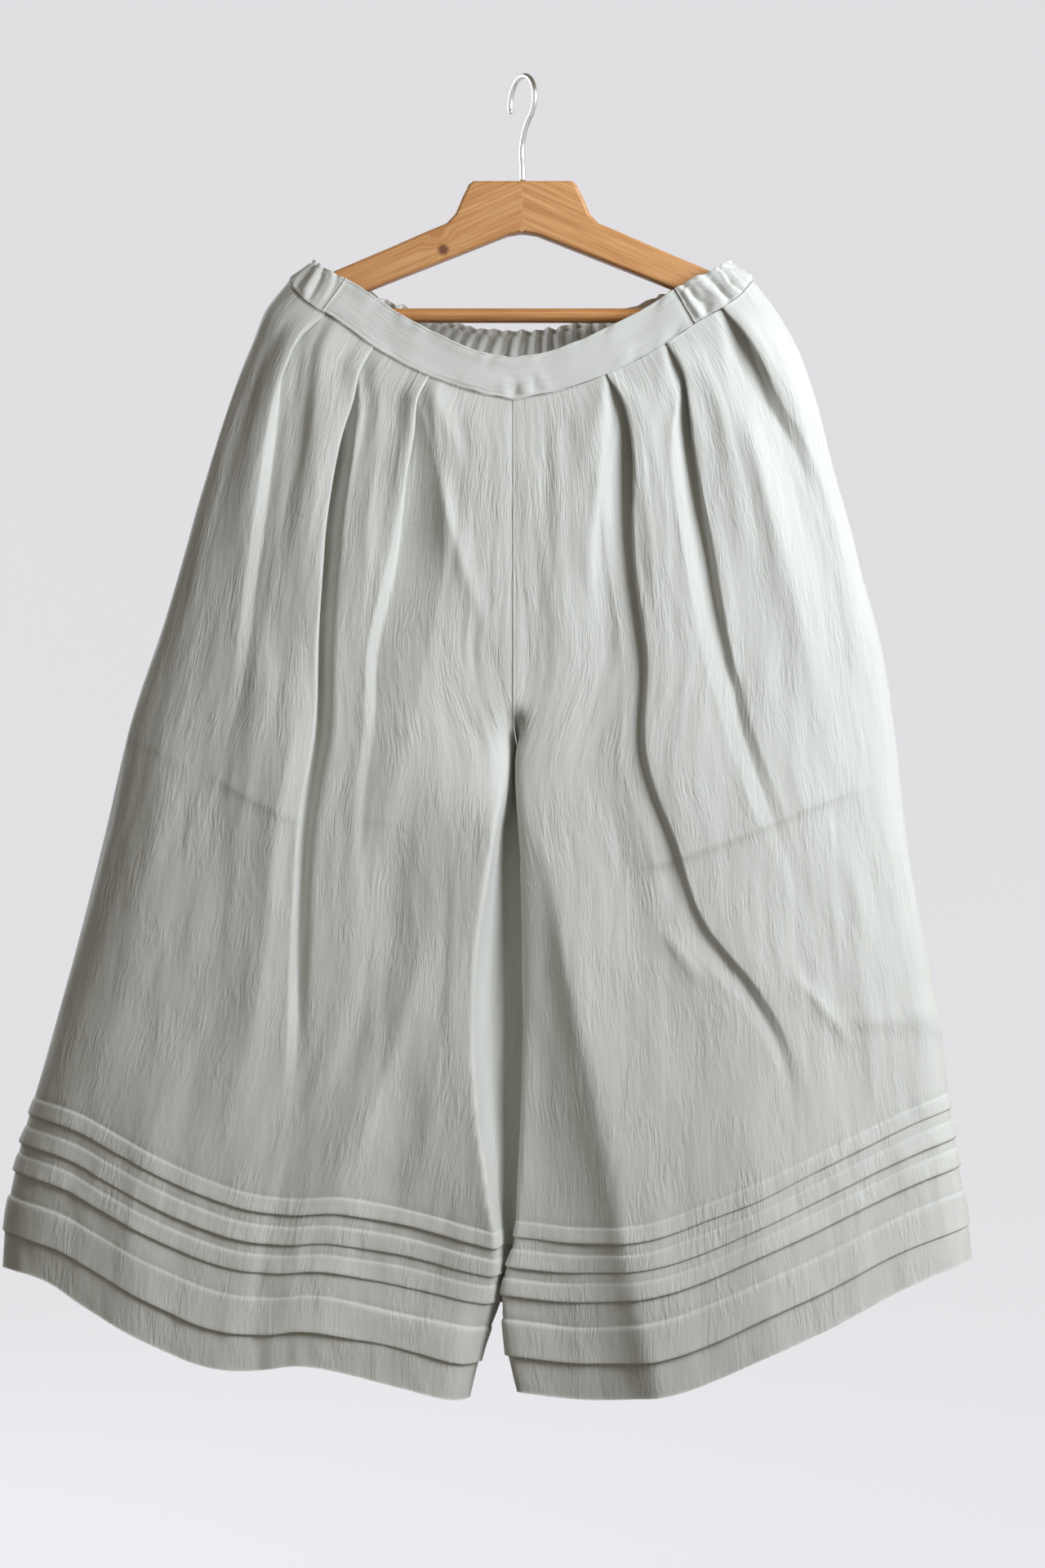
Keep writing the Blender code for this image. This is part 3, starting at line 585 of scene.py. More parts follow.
# Each pleat, from the side inwards: its cloth turns down at the lip, runs under, turns up, rises
# and levels out; before and after are how far either side the difference in level is lost
PLEAT_COLUMNS = ("fall", "lip", "lip_angle", "under", "rise_angle", "rise", "before", "after")
PLEATS = {RIGHT: ((
    (0.00, 0.250, 172, 7, 0, 0, 12, 13),
    (0.04, 0.230, 140, 9, 10, 3, 16, 16),
    (0.09, 0.221, 92, 9, 16, 5, 22, 22),
    (0.15, 0.232, 62, 8, 16, 6, 28, 28),
    (0.25, 0.246, 34, 7, 10, 5, 30, 34),
    (0.38, 0.249, 14, 6, 5, 4, 30, 34),
    (0.55, 0.251, 0, 5, 0, 4, 30, 34),
    (1.00, 0.250, 0, 5, 0, 4, 30, 34),
), (
    (0.00, 0.443, 172, 9, 0, 0, 12, 13),
    (0.04, 0.450, 135, 13, 38, 11, 18, 14),
    (0.09, 0.437, 102, 17, 60, 19, 30, 18),
    (0.17, 0.437, 97, 18, 60, 20, 44, 26),
    (0.27, 0.458, 95, 16, 60, 15, 55, 30),
    (0.38, 0.453, 92, 14, 60, 12, 60, 36),
    (0.48, 0.457, 86, 10.5, 55, 7, 60, 38),
    (0.60, 0.472, 74, 8.5, 48, 6, 60, 40),
    (0.70, 0.492, 20, 5, 12, 5, 50, 40),
    (0.84, 0.517, 0, 4, 0, 4, 50, 40),
    (1.00, 0.517, 0, 4, 0, 4, 50, 40),
), (
    (0.00, 0.665, 172, 11, 0, 0, 12, 13),
    (0.04, 0.661, 145, 12, 16, 14, 16, 20),
    (0.09, 0.656, 108, 13, 20, 24, 20, 26),
    (0.15, 0.645, 86, 11, 20, 33, 26, 30),
    (0.22, 0.621, 56, 9, 16, 36, 30, 34),
    (0.30, 0.589, 32, 7, 12, 32, 30, 40),
    (0.40, 0.560, 12, 5, 6, 18, 30, 50),
    (0.55, 0.600, 0, 5, 0, 5, 30, 60),
    (1.00, 0.650, 0, 5, 0, 5, 30, 60),
)), LEFT: ((
    (0.000, 0.213, 172, 6, 0, 0, 12, 13),
    (0.045, 0.206, 92, 7, 10, 4, 16, 16),
    (0.090, 0.193, 46, 7, 12, 5, 22, 22),
    (0.140, 0.153, 29, 6, 10, 5, 28, 28),
    (0.200, 0.114, 17, 5, 8, 4, 28, 30),
    (0.300, 0.098, 8, 4, 3, 4, 28, 30),
    (0.420, 0.095, 0, 4, 0, 4, 28, 30),
    (1.000, 0.095, 0, 4, 0, 4, 28, 30),
), (
    (0.000, 0.423, 172, 10, 0, 0, 12, 13),
    (0.035, 0.424, 135, 13, 40, 12, 16, 16),
    (0.070, 0.445, 104, 14, 46, 18, 22, 20),
    (0.130, 0.452, 92, 9.5, 32, 19, 30, 28),
    (0.200, 0.442, 76, 6.5, 22, 17, 36, 34),
    (0.280, 0.435, 58, 5, 17, 14, 40, 38),
    (0.360, 0.389, 36, 4.5, 13, 11, 40, 38),
    (0.460, 0.344, 18, 6, 14, 8, 36, 38),
    (0.580, 0.289, 0, 5, 0, 4, 36, 36),
    (1.000, 0.259, 0, 5, 0, 4, 36, 36),
), (
    (0.000, 0.650, 172, 12, 0, 0, 12, 13),
    (0.035, 0.627, 145, 14, 22, 14, 16, 18),
    (0.080, 0.631, 114, 16, 30, 24, 22, 24),
    (0.150, 0.652, 92, 9, 22, 20, 28, 28),
    (0.240, 0.651, 80, 5.5, 12, 14, 36, 34),
    (0.340, 0.630, 66, 4.5, 9, 12, 44, 42),
    (0.450, 0.582, 52, 4.2, 8, 12, 50, 52),
    (0.550, 0.531, 44, 4.2, 8, 11, 50, 56),
    (0.650, 0.420, 34, 5, 11, 8, 50, 60),
    (0.740, 0.359, 14, 4, 4, 4, 50, 60),
    (0.820, 0.362, 0, 4, 0, 4, 50, 60),
    (1.000, 0.383, 0, 4, 0, 4, 50, 60),
))}
# Radii at which the cloth turns at the lip, at the foot and at the far crest, above and below
TURN_RADII = {"lip": (1.8, 3.0), "foot": (1.8, 2.6), "crest": (2.4, 9.0)}

FRONT_CREASES = {RIGHT: (
    (0.00, 0.17, 0.262, 0.314, 0.338, 4, 5, -3.5, 0.25),
    (0.00, 0.22, 0.300, 0.346, 0.357, 5, 9, 3.2, 0.30),
    (0.02, 0.30, 0.390, 0.366, 0.335, 12, 12, 3),
    (0.02, 0.40, 0.090, 0.065, 0.044, 12, 12, 3.4),
    (0.02, 0.34, 0.150, 0.139, 0.137, 8, 8, -2.6),
    (0.00, 0.27, 0.705, 0.799, 0.985, 15, 9, 5.5, 0.25),
    (0.02, 0.24, 0.690, 0.733, 0.796, 10, 12, -3),
    (0.02, 0.30, 0.545, 0.556, 0.548, 10, 8, 2.4),
    (0.28, 0.84, 0.411, 0.413, 0.435, 26, 9, 5.5, 0.25),
    (0.28, 0.62, 0.313, 0.327, 0.343, 12, 14, 2.6),
    (0.40, 0.84, 0.157, 0.169, 0.189, 20, 24, 4),
    (0.36, 0.80, 0.075, 0.071, 0.076, 14, 12, -2.4),
    (0.54, 0.88, 0.743, 0.687, 0.630, 24, 13, 6.5, 0.20),
    (0.40, 0.78, 0.681, 0.651, 0.589, 16, 18, -3),
    (0.62, 1.00, 0.533, 0.538, 0.548, 10, 12, -2.4),
    (0.70, 1.00, 0.282, 0.291, 0.311, 26, 22, 4),
), LEFT: (
    (0.00, 0.27, 0.665, 0.761, 0.795, 5, 14, 5, 0.20),
    (0.00, 0.34, 0.445, 0.507, 0.471, 4, 12, 4.2, 0.20),
    (0.00, 0.30, 0.560, 0.562, 0.559, 9, 9, 2),
    (0.04, 0.42, 0.318, 0.268, 0.218, 9, 12, 5.5, 0.25),
    (0.02, 0.36, 0.250, 0.195, 0.168, 10, 10, -3),
    (0.04, 0.38, 0.070, 0.045, 0.029, 10, 10, 2.4),
    (0.00, 0.30, 0.360, 0.360, 0.359, 8, 8, 2.4),
    (0.04, 0.34, 0.860, 0.878, 0.897, 12, 10, 2.6),
    (0.08, 0.54, 0.735, 0.750, 0.670, 18, 24, -4.4, 0.50),
    (0.34, 1.00, 0.913, 0.789, 0.671, 60, 20, 13, 0.12),
    (0.44, 0.80, 0.681, 0.629, 0.547, 22, 26, -3.5),
    (0.48, 0.84, 0.218, 0.197, 0.177, 20, 22, 3.4),
    (0.54, 0.63, 0.619, 0.573, 0.521, 4, 4, 2.6, 0.30),
    (0.64, 0.76, 0.353, 0.289, 0.223, 4, 5, 2.6, 0.30),
    (0.66, 1.00, 0.485, 0.465, 0.445, 22, 22, 3.4),
    (0.60, 1.00, 0.094, 0.094, 0.095, 18, 18, 2.8),
)}
FRONT_FOLD_LINES = {RIGHT: (
    (0.010, 0.210, 0.463, 0.466, 30, 5, 0.6),
    (0.260, 0.470, 0.463, 0.468, 28, 4, 1.1),
    (0.548, 0.671, 0.455, 0.450, 18, 5, 0.6),
), LEFT: (
    (0.150, 0.660, 0.500, 0.484, 38, 4, 2.8),
    (0.011, 0.269, 0.775, 0.712, 12, 4, 1.8),
    (-0.009, 0.135, 0.760, 0.735, 8, 4, 1.3),
)}

# Falls between which the row's length is taken as even, so that the fork makes no kink
EVEN_FALLS = np.array((0.0, 0.05, 0.12, 0.20, 0.28, 0.38, 0.50, 0.65, 1.0))
# Columns before each pleat, after the last one, and from the inner edge to the seam
COLUMNS_BESIDE = (30, 20, 20, 30)
INNER_COLUMNS = 15
INNER_START = 0.93
# Columns to each of a pleat's five stretches, and the least run that a stretch takes up
TURN_STEPS = (6, 2, 8, 2, 4)
LEAST_RUNS = (2.4, 2.0, 4.0, 2.0, 3.0)

CLOTH_WIDTH = 420.0
SIDE_EASE = 14.0
CENTRE_EASE = 12.0
AT_BAND = 0.35
PRESSED_TO = 0.03
SOFT_FROM = 0.05
SEAM_FROM = 0.02
HEM_FALLS = (0.81, 0.84)
HEM_PRESSES = 0.35
HEM_WAVE = 0.45
HEM_LIFT = 1.3
TUCK_GAPE = 0.5
SEWN_FALLS = (0.27, 0.31)
SEAM_DEPTH = 0.45
SEAM_WIDTH = 2.5


def tucked_rows(top_falls):
    """Each row's fall and stand-out: plain rows down the leg, then each tuck as a true fold."""
    rows = [(fall, 0.0) for fall in top_falls]
    for stitch, fold, stands_out, plain in TUCKS:
        over_hem = stitch + (fold - stitch) * TUCK_SECTION["to_fold"] + TUCK_SECTION["more"]
        rows += zip(1.0 - over_hem / PANEL_LENGTH, TUCK_SECTION["share"] * stands_out)
        rows += [(1.0 - high / PANEL_LENGTH, 0.0) for high in plain]
    return np.array((*rows, (1.0, EDGE_STANDS_OUT))).T


def pleat_span(rows, falls, even_length):
    """A pleat's run along each row, its height, and how far either side its drop is lost.

    The heading falls from level to the lip angle, holds while the cloth runs under, swings to
    the rise angle, holds, and comes back to level; run and height add up its cosine and sine.
    """
    pleat = table(PLEAT_COLUMNS, rows)
    at = {name: curve(pleat, name, falls) for name in PLEAT_COLUMNS[1:]}
    down = np.radians(np.maximum(at["lip_angle"], 0.0))
    up = np.radians(np.maximum(at["rise_angle"], 0.0))
    below = smooth_step(0.0, 0.5, falls)
    radius = {name: high + (low - high) * below for name, (high, low) in TURN_RADII.items()}
    stretches = (
        (radius["lip"] * down, 0.0 * down, -down),
        (at["under"], -down, -down),
        (radius["foot"] * (down + up), -down, up),
        (at["rise"], up, up),
        (radius["crest"] * up, up, 0.0 * up),
    )
    steps, headings = [], []
    for (long, first, last), least, count in zip(stretches, LEAST_RUNS, TURN_STEPS):
        middle = (np.arange(count) + 0.5) / count
        steps.append(np.repeat(np.maximum(long, least)[:, None] / count, count, axis=1))
        headings.append(first[:, None] + (last - first)[:, None] * middle)
    steps = np.concatenate(steps, axis=1)
    headings = np.concatenate(headings, axis=1)
    lip_run = radius["lip"] * np.sin(np.minimum(down, 0.5 * math.pi))
    run = summed(steps * np.cos(headings)) + (at["lip"] * even_length - lip_run)[:, None]
    height = summed(steps * np.sin(headings))
    return {"run": run, "height": height, "start": run[:, :1], "end": run[:, -1:],
            "drop": height[:, -1:], "before": at["before"][:, None],
            "after": at["after"][:, None]}


def pleated_columns(side, falls, length, even_length):
    """Run along the row and height over the plain leg of each column of a pleated front.

    Half of a pleat's drop is a swell before its lip, half is regained beyond it.
    """
    spans = [pleat_span(rows, falls, even_length) for rows in PLEATS[side]]
    reach = length * (1.0 - INNER_SHARE * smooth_step(FORK_FALL, LEG_FALL, falls))
    inner_start = np.minimum(reach, INNER_START * length)[:, None]
    limits = [np.zeros((len(falls), 1))]
    for span in spans:
        limits += [span["start"], span["end"]]
    limits.append(inner_start)

    def beside(run, passed):
        """Height beside the pleats, where passed counts those already crossed."""
        height = np.zeros_like(run)
        for number, span in enumerate(spans):
            half = -0.5 * span["drop"]
            if number >= passed:
                height += half * smooth_step(span["start"] - span["before"], span["start"], run)
            else:
                regained = smooth_step(span["end"], span["end"] + span["after"], run)
                height -= half * (1.0 - regained)
        return height

    parts = []
    for zone, count in enumerate(COLUMNS_BESIDE):
        share = (np.arange(count) + (zone > 0)) / (count + (zone > 0))
        low, high = limits[2 * zone:2 * zone + 2]
        run = low + (high - low) * share
        parts.append((run, beside(run, zone)))
        if zone < len(spans):
            span = spans[zone]
            start = beside(span["start"], zone)
            end = beside(span["end"], zone + 1) - span["drop"]
            level = start + (end - start) * np.linspace(0.0, 1.0, span["run"].shape[1])
            parts.append((span["run"], level + span["height"]))
    share = np.linspace(0.0, 1.0, INNER_COLUMNS)
    run = inner_start + (length[:, None] - inner_start) * share
    parts.append((run, np.zeros_like(run)))
    return tuple(np.concatenate([part[at] for part in parts], axis=1) for at in range(2))


def rumpling(u, v, seed):
    """Uneven lengthwise rumpling: three noises, each narrower and shallower than the last."""
    return (1.1 * soft_noise(u / 34.0, v / 150.0, seed)
            + 0.75 * soft_noise(u / 15.0 + 0.35 * soft_noise(u / 60.0, v / 60.0, seed + 1),
                                v / 70.0, seed + 2)
            + 0.42 * soft_noise(u / 7.5, v / 42.0, seed + 3))


def dressed_panel(side, face, falls, stand_out, columns, ridges, lines, seed):
    """A panel's grid of points, outward directions and cloth coordinates in metres.

    Folds are pressed to about a third at the band and die away towards the seams, which pinch
    the cloth as exp(-(d/width)^2). The tucks, sewn and pressed, rumple less but gape unevenly.
    """
    length = leg_lengths(side, face, falls)
    even_length = smooth_curve(EVEN_FALLS, leg_lengths(side, face, EVEN_FALLS), falls)
    run, height = columns(side, falls, length, even_length)
    run = np.clip(run, 0.0, length[:, None])
    to_seam = length[:, None] - run
    points, out = leg_frame(side, face, falls, run / length[:, None])
    across = run / even_length[:, None]
    u = CLOTH_WIDTH * across
    v = np.broadcast_to(falls[:, None] * PANEL_LENGTH, u.shape)
    from_seams = smooth_step(0.0, SIDE_EASE, run) * smooth_step(0.0, CENTRE_EASE, to_seam)
    pressed = AT_BAND + (1.0 - AT_BAND) * smooth_step(0.0, PRESSED_TO, falls)[:, None]
    softened = smooth_step(0.0, SOFT_FROM, falls)[:, None] * from_seams
    hemmed = smooth_step(*HEM_FALLS, falls)[:, None]
    height = height * pressed
    height += creases(ridges, falls, across, even_length) * from_seams * pressed
    height += fold_lines(lines, falls, across) * from_seams
    height += rumpling(u, v, seed) * softened * (1.0 - HEM_PRESSES * hemmed)
    height += HEM_WAVE * soft_noise(u / 9.0, v / 16.0, seed + 8) * hemmed * from_seams
    joined = 1.0 - smooth_step(*SEWN_FALLS, falls)[:, None]
    seam_dip = np.exp(-(run / SEAM_WIDTH) ** 2) + joined * np.exp(-(to_seam / SEAM_WIDTH) ** 2)
    height -= SEAM_DEPTH * seam_dip * smooth_step(0.0, SEAM_FROM, falls)[:, None]
    gape = 1.0 + TUCK_GAPE * soft_noise(u / 55.0, v / 23.0, seed + 5) * from_seams
    height += stand_out[:, None] * gape
    points = points + out * height[..., None]
    lift = HEM_LIFT * soft_noise(u / 48.0, v / 30.0, seed + 6)
    points[..., 2] += lift * hemmed * from_seams
    return points, out, np.stack((u, v), axis=-1) * MM


front_falls = np.concatenate((
    np.linspace(TOP_FALL, 0.045, 14), np.linspace(0.050, 0.432, 62),
    np.linspace(0.435, 0.506, 30), np.linspace(0.512, 0.820, 51)))
fall_rows, fall_stand_out = tucked_rows(front_falls)
for side, seed in ((RIGHT, 11), (LEFT, 31)):
    points, out, uv = dressed_panel(
        side, FRONT, fall_rows, fall_stand_out, pleated_columns,
        FRONT_CREASES[side], FRONT_FOLD_LINES[side], seed)
    front = cloth_shell("dressed_front_" + side, points, out, LINEN_THICKNESS, uv, panel_linen)
    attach(front, "root")
    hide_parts("front_panel_" + side)


# ---- Back panels ----
# Two flared panels of the same linen, gathered into the elastic band. The gathers run into each
# other and open into four broad folds to a side; the same tucks go round above the hem.

BACK_COLUMNS = 150
COLUMNS_CROWD = 0.05
FOLDS_WANDER = 0.012
FOLD_SIZES = (0.75, 1.25)
BACK_CREASES = (
    (0.00, 0.16, 0.045, 0.050, 0.055, 4, 4, 3),
    (0.00, 0.30, 0.095, 0.100, 0.110, 5, 5, 4.2),
    (0.00, 0.12, 0.150, 0.150, 0.150, 4, 4, 3),
    (0.00, 0.42, 0.205, 0.190, 0.170, 6, 7, 4.6),
    (0.00, 0.18, 0.260, 0.262, 0.270, 4, 4, 3.4),
    (0.00, 0.26, 0.315, 0.325, 0.335, 5, 5, 3.8),
    (0.00, 0.48, 0.375, 0.370, 0.360, 7, 7, 4.8),
    (0.00, 0.14, 0.440, 0.440, 0.440, 4, 4, 3),
    (0.00, 0.34, 0.500, 0.505, 0.510, 5, 6, 4),
    (0.00, 0.20, 0.560, 0.558, 0.560, 4, 4, 3.4),
    (0.00, 0.40, 0.625, 0.610, 0.590, 6, 6, 4.4),
    (0.00, 0.16, 0.690, 0.690, 0.695, 4, 4, 3),
    (0.00, 0.30, 0.750, 0.760, 0.775, 5, 5, 3.8),
    (0.00, 0.22, 0.820, 0.825, 0.835, 5, 4, 3.4),
    (0.00, 0.26, 0.890, 0.895, 0.905, 4, 5, 3.2),
    (0.06, 0.84, 0.160, 0.155, 0.140, 24, 26, 8),
    (0.06, 1.00, 0.360, 0.355, 0.345, 26, 24, 10),
    (0.06, 0.80, 0.580, 0.570, 0.560, 26, 28, 8),
    (0.06, 1.00, 0.780, 0.790, 0.800, 24, 20, 9),
    (0.30, 0.84, 0.470, 0.480, 0.470, 16, 14, -3),
    (0.34, 0.90, 0.255, 0.250, 0.255, 12, 16, -2.6),
    (0.40, 1.00, 0.680, 0.680, 0.690, 15, 13, -2.8),
)
BACK_FOLD_LINES = (
    (0.200, 0.560, 0.460, 0.452, 24, 8, 1.4),
    (0.620, 0.900, 0.455, 0.462, 22, 8, 1.2),
)


def even_columns(side, falls, length, even_length):
    """Run and height of a panel with no pleats: columns crowd at both seams and the middle."""
    share = np.linspace(0.0, 1.0, BACK_COLUMNS)
    share = share - COLUMNS_CROWD * np.sin(4.0 * math.pi * share) / math.pi
    run = length[:, None] * share
    return run, np.zeros_like(run)


back_falls = np.concatenate((np.linspace(TOP_FALL, 0.045, 14), np.linspace(0.05, 0.82, 96)))
fall_rows, fall_stand_out = tucked_rows(back_falls)
for side, seed in ((RIGHT, 51), (LEFT, 71)):
    jitter = np.random.default_rng(seed)
    ridges = np.array(BACK_CREASES)
    ridges[:, 2:5] += jitter.uniform(-FOLDS_WANDER, FOLDS_WANDER, (len(ridges), 1))
    ridges[:, 7] *= jitter.uniform(*FOLD_SIZES, len(ridges))
    points, out, uv = dressed_panel(
        side, BACK, fall_rows, fall_stand_out, even_columns, ridges, BACK_FOLD_LINES, seed)
    back = cloth_shell("dressed_back_" + side, points, out, LINEN_THICKNESS, uv, panel_linen)
    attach(back, "root")
    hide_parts("back_panel_" + side)


# ---- Front waistband ----
# A flat band of two layers of linen with pressed edges, topstitched 2 mm in from each edge and
# joined to the elastic part by an upright seam at either end. It puckers a little at its middle.

BAND_WALL = 2.2
BAND_HEIGHT = 33.0
BAND_END = {RIGHT: 0.235, LEFT: 0.315}
BAND_MIDDLE = 0.9985
# Each run of the band along a leg's row: its side and face, its share across at both ends and
# its columns
BAND_RUNS = (
    (RIGHT, FRONT, BAND_END[RIGHT], BAND_MIDDLE, 96),
    (LEFT, FRONT, BAND_MIDDLE, BAND_END[LEFT], 80),
)
BAND_ROW_HEIGHTS = (0.1, 0.6, 1.1, 1.9, 2.4, 3.0, 4.4, 8.0, 12.5, 17.0, 21.5, 26.0, 29.0,
                    30.2, 30.8, 31.4, 32.2, 32.7, 33.0)
ROUNDED_OVER = 1.5
STITCHED_AT = 2.2
STITCH_WIDTH = 0.5
EDGE_PUCKER_REACH = 7.0
END_SEAM_AT = 2.6
END_SEAM_WIDTH = 1.2
END_SEAM_DEPTH = 0.7
END_EASE = 3.0
MIDDLE_X = 2.0
MIDDLE_REACH = 16.0
MIDDLE_LIFT = 0.6
BUNCH_HEIGHT = 1.3
BUNCH_V = 8.0
BUNCH_REACH_V = 9.0

band_linen = crinkled_linen("pressed_linen", "#cdcec9", "#c6c6bf", 0.0007)


def distance_along(points):
    """Distance run along each row of a grid."""
    return summed(np.linalg.norm(np.diff(points, axis=1), axis=-1))


def band_grid(runs, heights):
    """Points and outward directions of a band along legs' rows, and its run u and height v."""
    heights = np.array(heights)
    parts = []
    for side, face, start, end, count in runs:
        across = np.broadcast_to(np.linspace(start, end, count), (len(heights), count))
        parts.append(leg_frame(side, face, BAND_FALL * heights / BAND_HEIGHT, across))
    points, out = (np.concatenate(part, axis=1) for part in zip(*parts))
    u = distance_along(points)
    return points, out, u, np.broadcast_to(heights[:, None], u.shape)


def pressed_edges(v, wall):
    """Thickness of a folded band: rounded at its edges and pinched by its stitching."""
    inside = np.minimum(v - v[0], v[-1] - v)
    edge = np.clip(inside / ROUNDED_OVER, 0.0, 1.0)
    stitched = np.exp(-((inside - STITCHED_AT) / STITCH_WIDTH) ** 2)
    return wall * (0.40 + 0.60 * np.sqrt(edge * (2.0 - edge)) - 0.30 * stitched)


points, out, u, v = band_grid(BAND_RUNS, BAND_ROW_HEIGHTS)
x = points[..., 0]
length = u[:, -1:]
ends = smooth_step(0.0, END_EASE, np.minimum(u, length - u))
at_edges = np.exp(-np.minimum(v, BAND_HEIGHT - v) / EDGE_PUCKER_REACH)
# Puckers along both edges, long soft swells, and a bunched place at the middle of the front
pucker = at_edges * soft_noise(
    u / 8.0 + 0.4 * soft_noise(u / 30.0, v / 9.0, 90), v / 30.0, 91)
pucker = (pucker + 1.3 * soft_noise(u / 34.0, v / 20.0, 92)
          + 0.5 * soft_noise(u / 13.0, v / 9.0, 94))
middle = np.exp(-((x - MIDDLE_X) / MIDDLE_REACH) ** 2)
bunch = soft_noise(x / 5.0, v / 6.0, 95) + 0.5 * np.sin(x / 2.6 + v / 6.0)
near_bunch = np.exp(-((v - BUNCH_V) / BUNCH_REACH_V) ** 2)
pucker = pucker + middle * (BUNCH_HEIGHT * bunch * near_bunch + MIDDLE_LIFT)
pucker = pucker * (0.25 + 0.75 * smooth_step(0.0, 5.0, v))
end_seams = sum(np.exp(-((u - at) / END_SEAM_WIDTH) ** 2)
                for at in (END_SEAM_AT, length - END_SEAM_AT))
points = points + out * (pucker * ends - END_SEAM_DEPTH * end_seams)[..., None]
points[..., 2] += 0.6 * soft_noise(u / 10.0, v / 60.0, 93) * at_edges * ends
thickness = pressed_edges(v, BAND_WALL) * (0.6 + 0.4 * ends)
front_band = cloth_shell("dressed_band_front", points, out, thickness,
                         np.stack((v, u), axis=-1) * MM, band_linen)
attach(front_band, "root")
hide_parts("waistband_front")


# ---- Elastic waistband ----
# The rest of the band is a casing of two layers over a wide elastic, which draws it into close
# uneven gathers with a narrow frill along the top. It sags between the hanger's arms behind.

ELASTIC_WALL = 1.7
GATHERS = 46
GATHER_HEIGHT = 1.7
FRILL_HEIGHT = 1.3
FRILL_FROM = 0.82
FRILL_STARTS = (0.10, 0.20)
FRILL_STITCHED_AT = 28.4
FRILL_STITCH_WIDTH = 1.3
FOOT_WIDTH = 3.0
JOIN_SHARE = 0.012
UNDERLAP = 0.0008
ELASTIC_RUNS = (
    (RIGHT, FRONT, BAND_END[RIGHT] - UNDERLAP, 0.0, 70),
    (RIGHT, BACK, 0.0, BAND_MIDDLE, 250),
    (LEFT, BACK, BAND_MIDDLE, 0.0, 250),
    (LEFT, FRONT, 0.0, BAND_END[LEFT] - UNDERLAP, 92),
)
ELASTIC_ROW_HEIGHTS = (0.1, 0.8, 1.6, 2.6, 4.0, 7.0, 11.0, 15.0, 19.0, 23.0, 26.0, 27.6, 28.4,
                       29.2, 30.4, 31.6, 32.5, 33.0)

points, out, u, v = band_grid(ELASTIC_RUNS, ELASTIC_ROW_HEIGHTS)
share = u / u[:, -1:]
from_ends = np.minimum(share, 1.0 - share)
# A gather is a wave along the band; noise shifts it, bends it and changes its size
warp = share + 0.9 / GATHERS * soft_noise(14.0 * share, v / 60.0, 101)
phase = 2.0 * math.pi * GATHERS * warp + 1.1 * soft_noise(24.0 * share, v / 12.0, 102)
wave = np.sin(phase) + 0.3 * np.sin(2.0 * phase + 0.6) + 0.8 * soft_noise(u / 5.5, v / 16.0, 103)
size = 0.95 + 0.5 * soft_noise(30.0 * share, v / 40.0, 104)
size = size * (0.4 + 0.6 * smooth_step(0.0, 0.05, share))
size = size * smooth_step(0.0, JOIN_SHARE, share) * smooth_step(0.0, JOIN_SHARE, 1.0 - share)
frill = smooth_step(FRILL_FROM, 1.0, v / BAND_HEIGHT)
frill = frill * (0.3 + 0.7 * smooth_step(*FRILL_STARTS, from_ends))
# Stitching holds the gathers down under the frill and at the seam along the foot
held = (1.0 - 0.5 * np.exp(-((v - FRILL_STITCHED_AT) / FRILL_STITCH_WIDTH) ** 2)
        - 0.85 * np.exp(-(v / FOOT_WIDTH) ** 2))
points = points + out * (GATHER_HEIGHT * wave * size * held * (1.0 + 0.25 * frill))[..., None]
points[..., 2] += FRILL_HEIGHT * size * frill * (0.7 * wave + 0.4 * np.cos(0.5 * phase))
elastic_band = cloth_shell("dressed_band_elastic", points, out, pressed_edges(v, ELASTIC_WALL),
                           np.stack((u, v), axis=-1) * MM, band_linen)
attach(elastic_band, "root")
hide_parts("waistband_elastic")


# ---- Hanger arms ----
# Two flat arms of red cedar, sawn to shape, their edges rounded over and sanded, mitred together
# at the neck. Under a thin satin oil it keeps an orange tan with fine darker grain and one knot.

HANGER_THICKNESS = 14.0
MITRE_GAP = 0.06
MITRE_REACH = 0.6
EDGE_ROUND = 3.2
EDGE_RINGS = 6
LONGEST_STEP = 3.0
ARM_MIDDLE_TOP_Z = -84.0
ARM_MIDDLE_BOTTOM_Z = -126.0
HEEL_X = 170.0
HEEL_TOP_Z = -186.0
HEEL_BOTTOM_Z = -202.0
TIP_TOP_Z = -178.0
TIP_Z = -186.0
TIP_BOTTOM_Z = -193.0
TIP_BEVEL = 4.0
TIP_FOOT = 12.0
TIP_FALL = 0.025
TIP_CLEAR = 2.6
ARM_LEANS = math.radians(24.0)
KNOT_X, KNOT_Z = -64.5, -140.5
ARM_TOP = ((28, -84), (40, -84), (44, -87), (50, -99), (55, -111), (62, -118.5), (80, -126),
           (105, -137), (151, -156.5), (186, -171.6))
ARM_BOTTOM = ((160, -186), (122, -171.5), (60, -147), (26, -133.5), (12, -128))


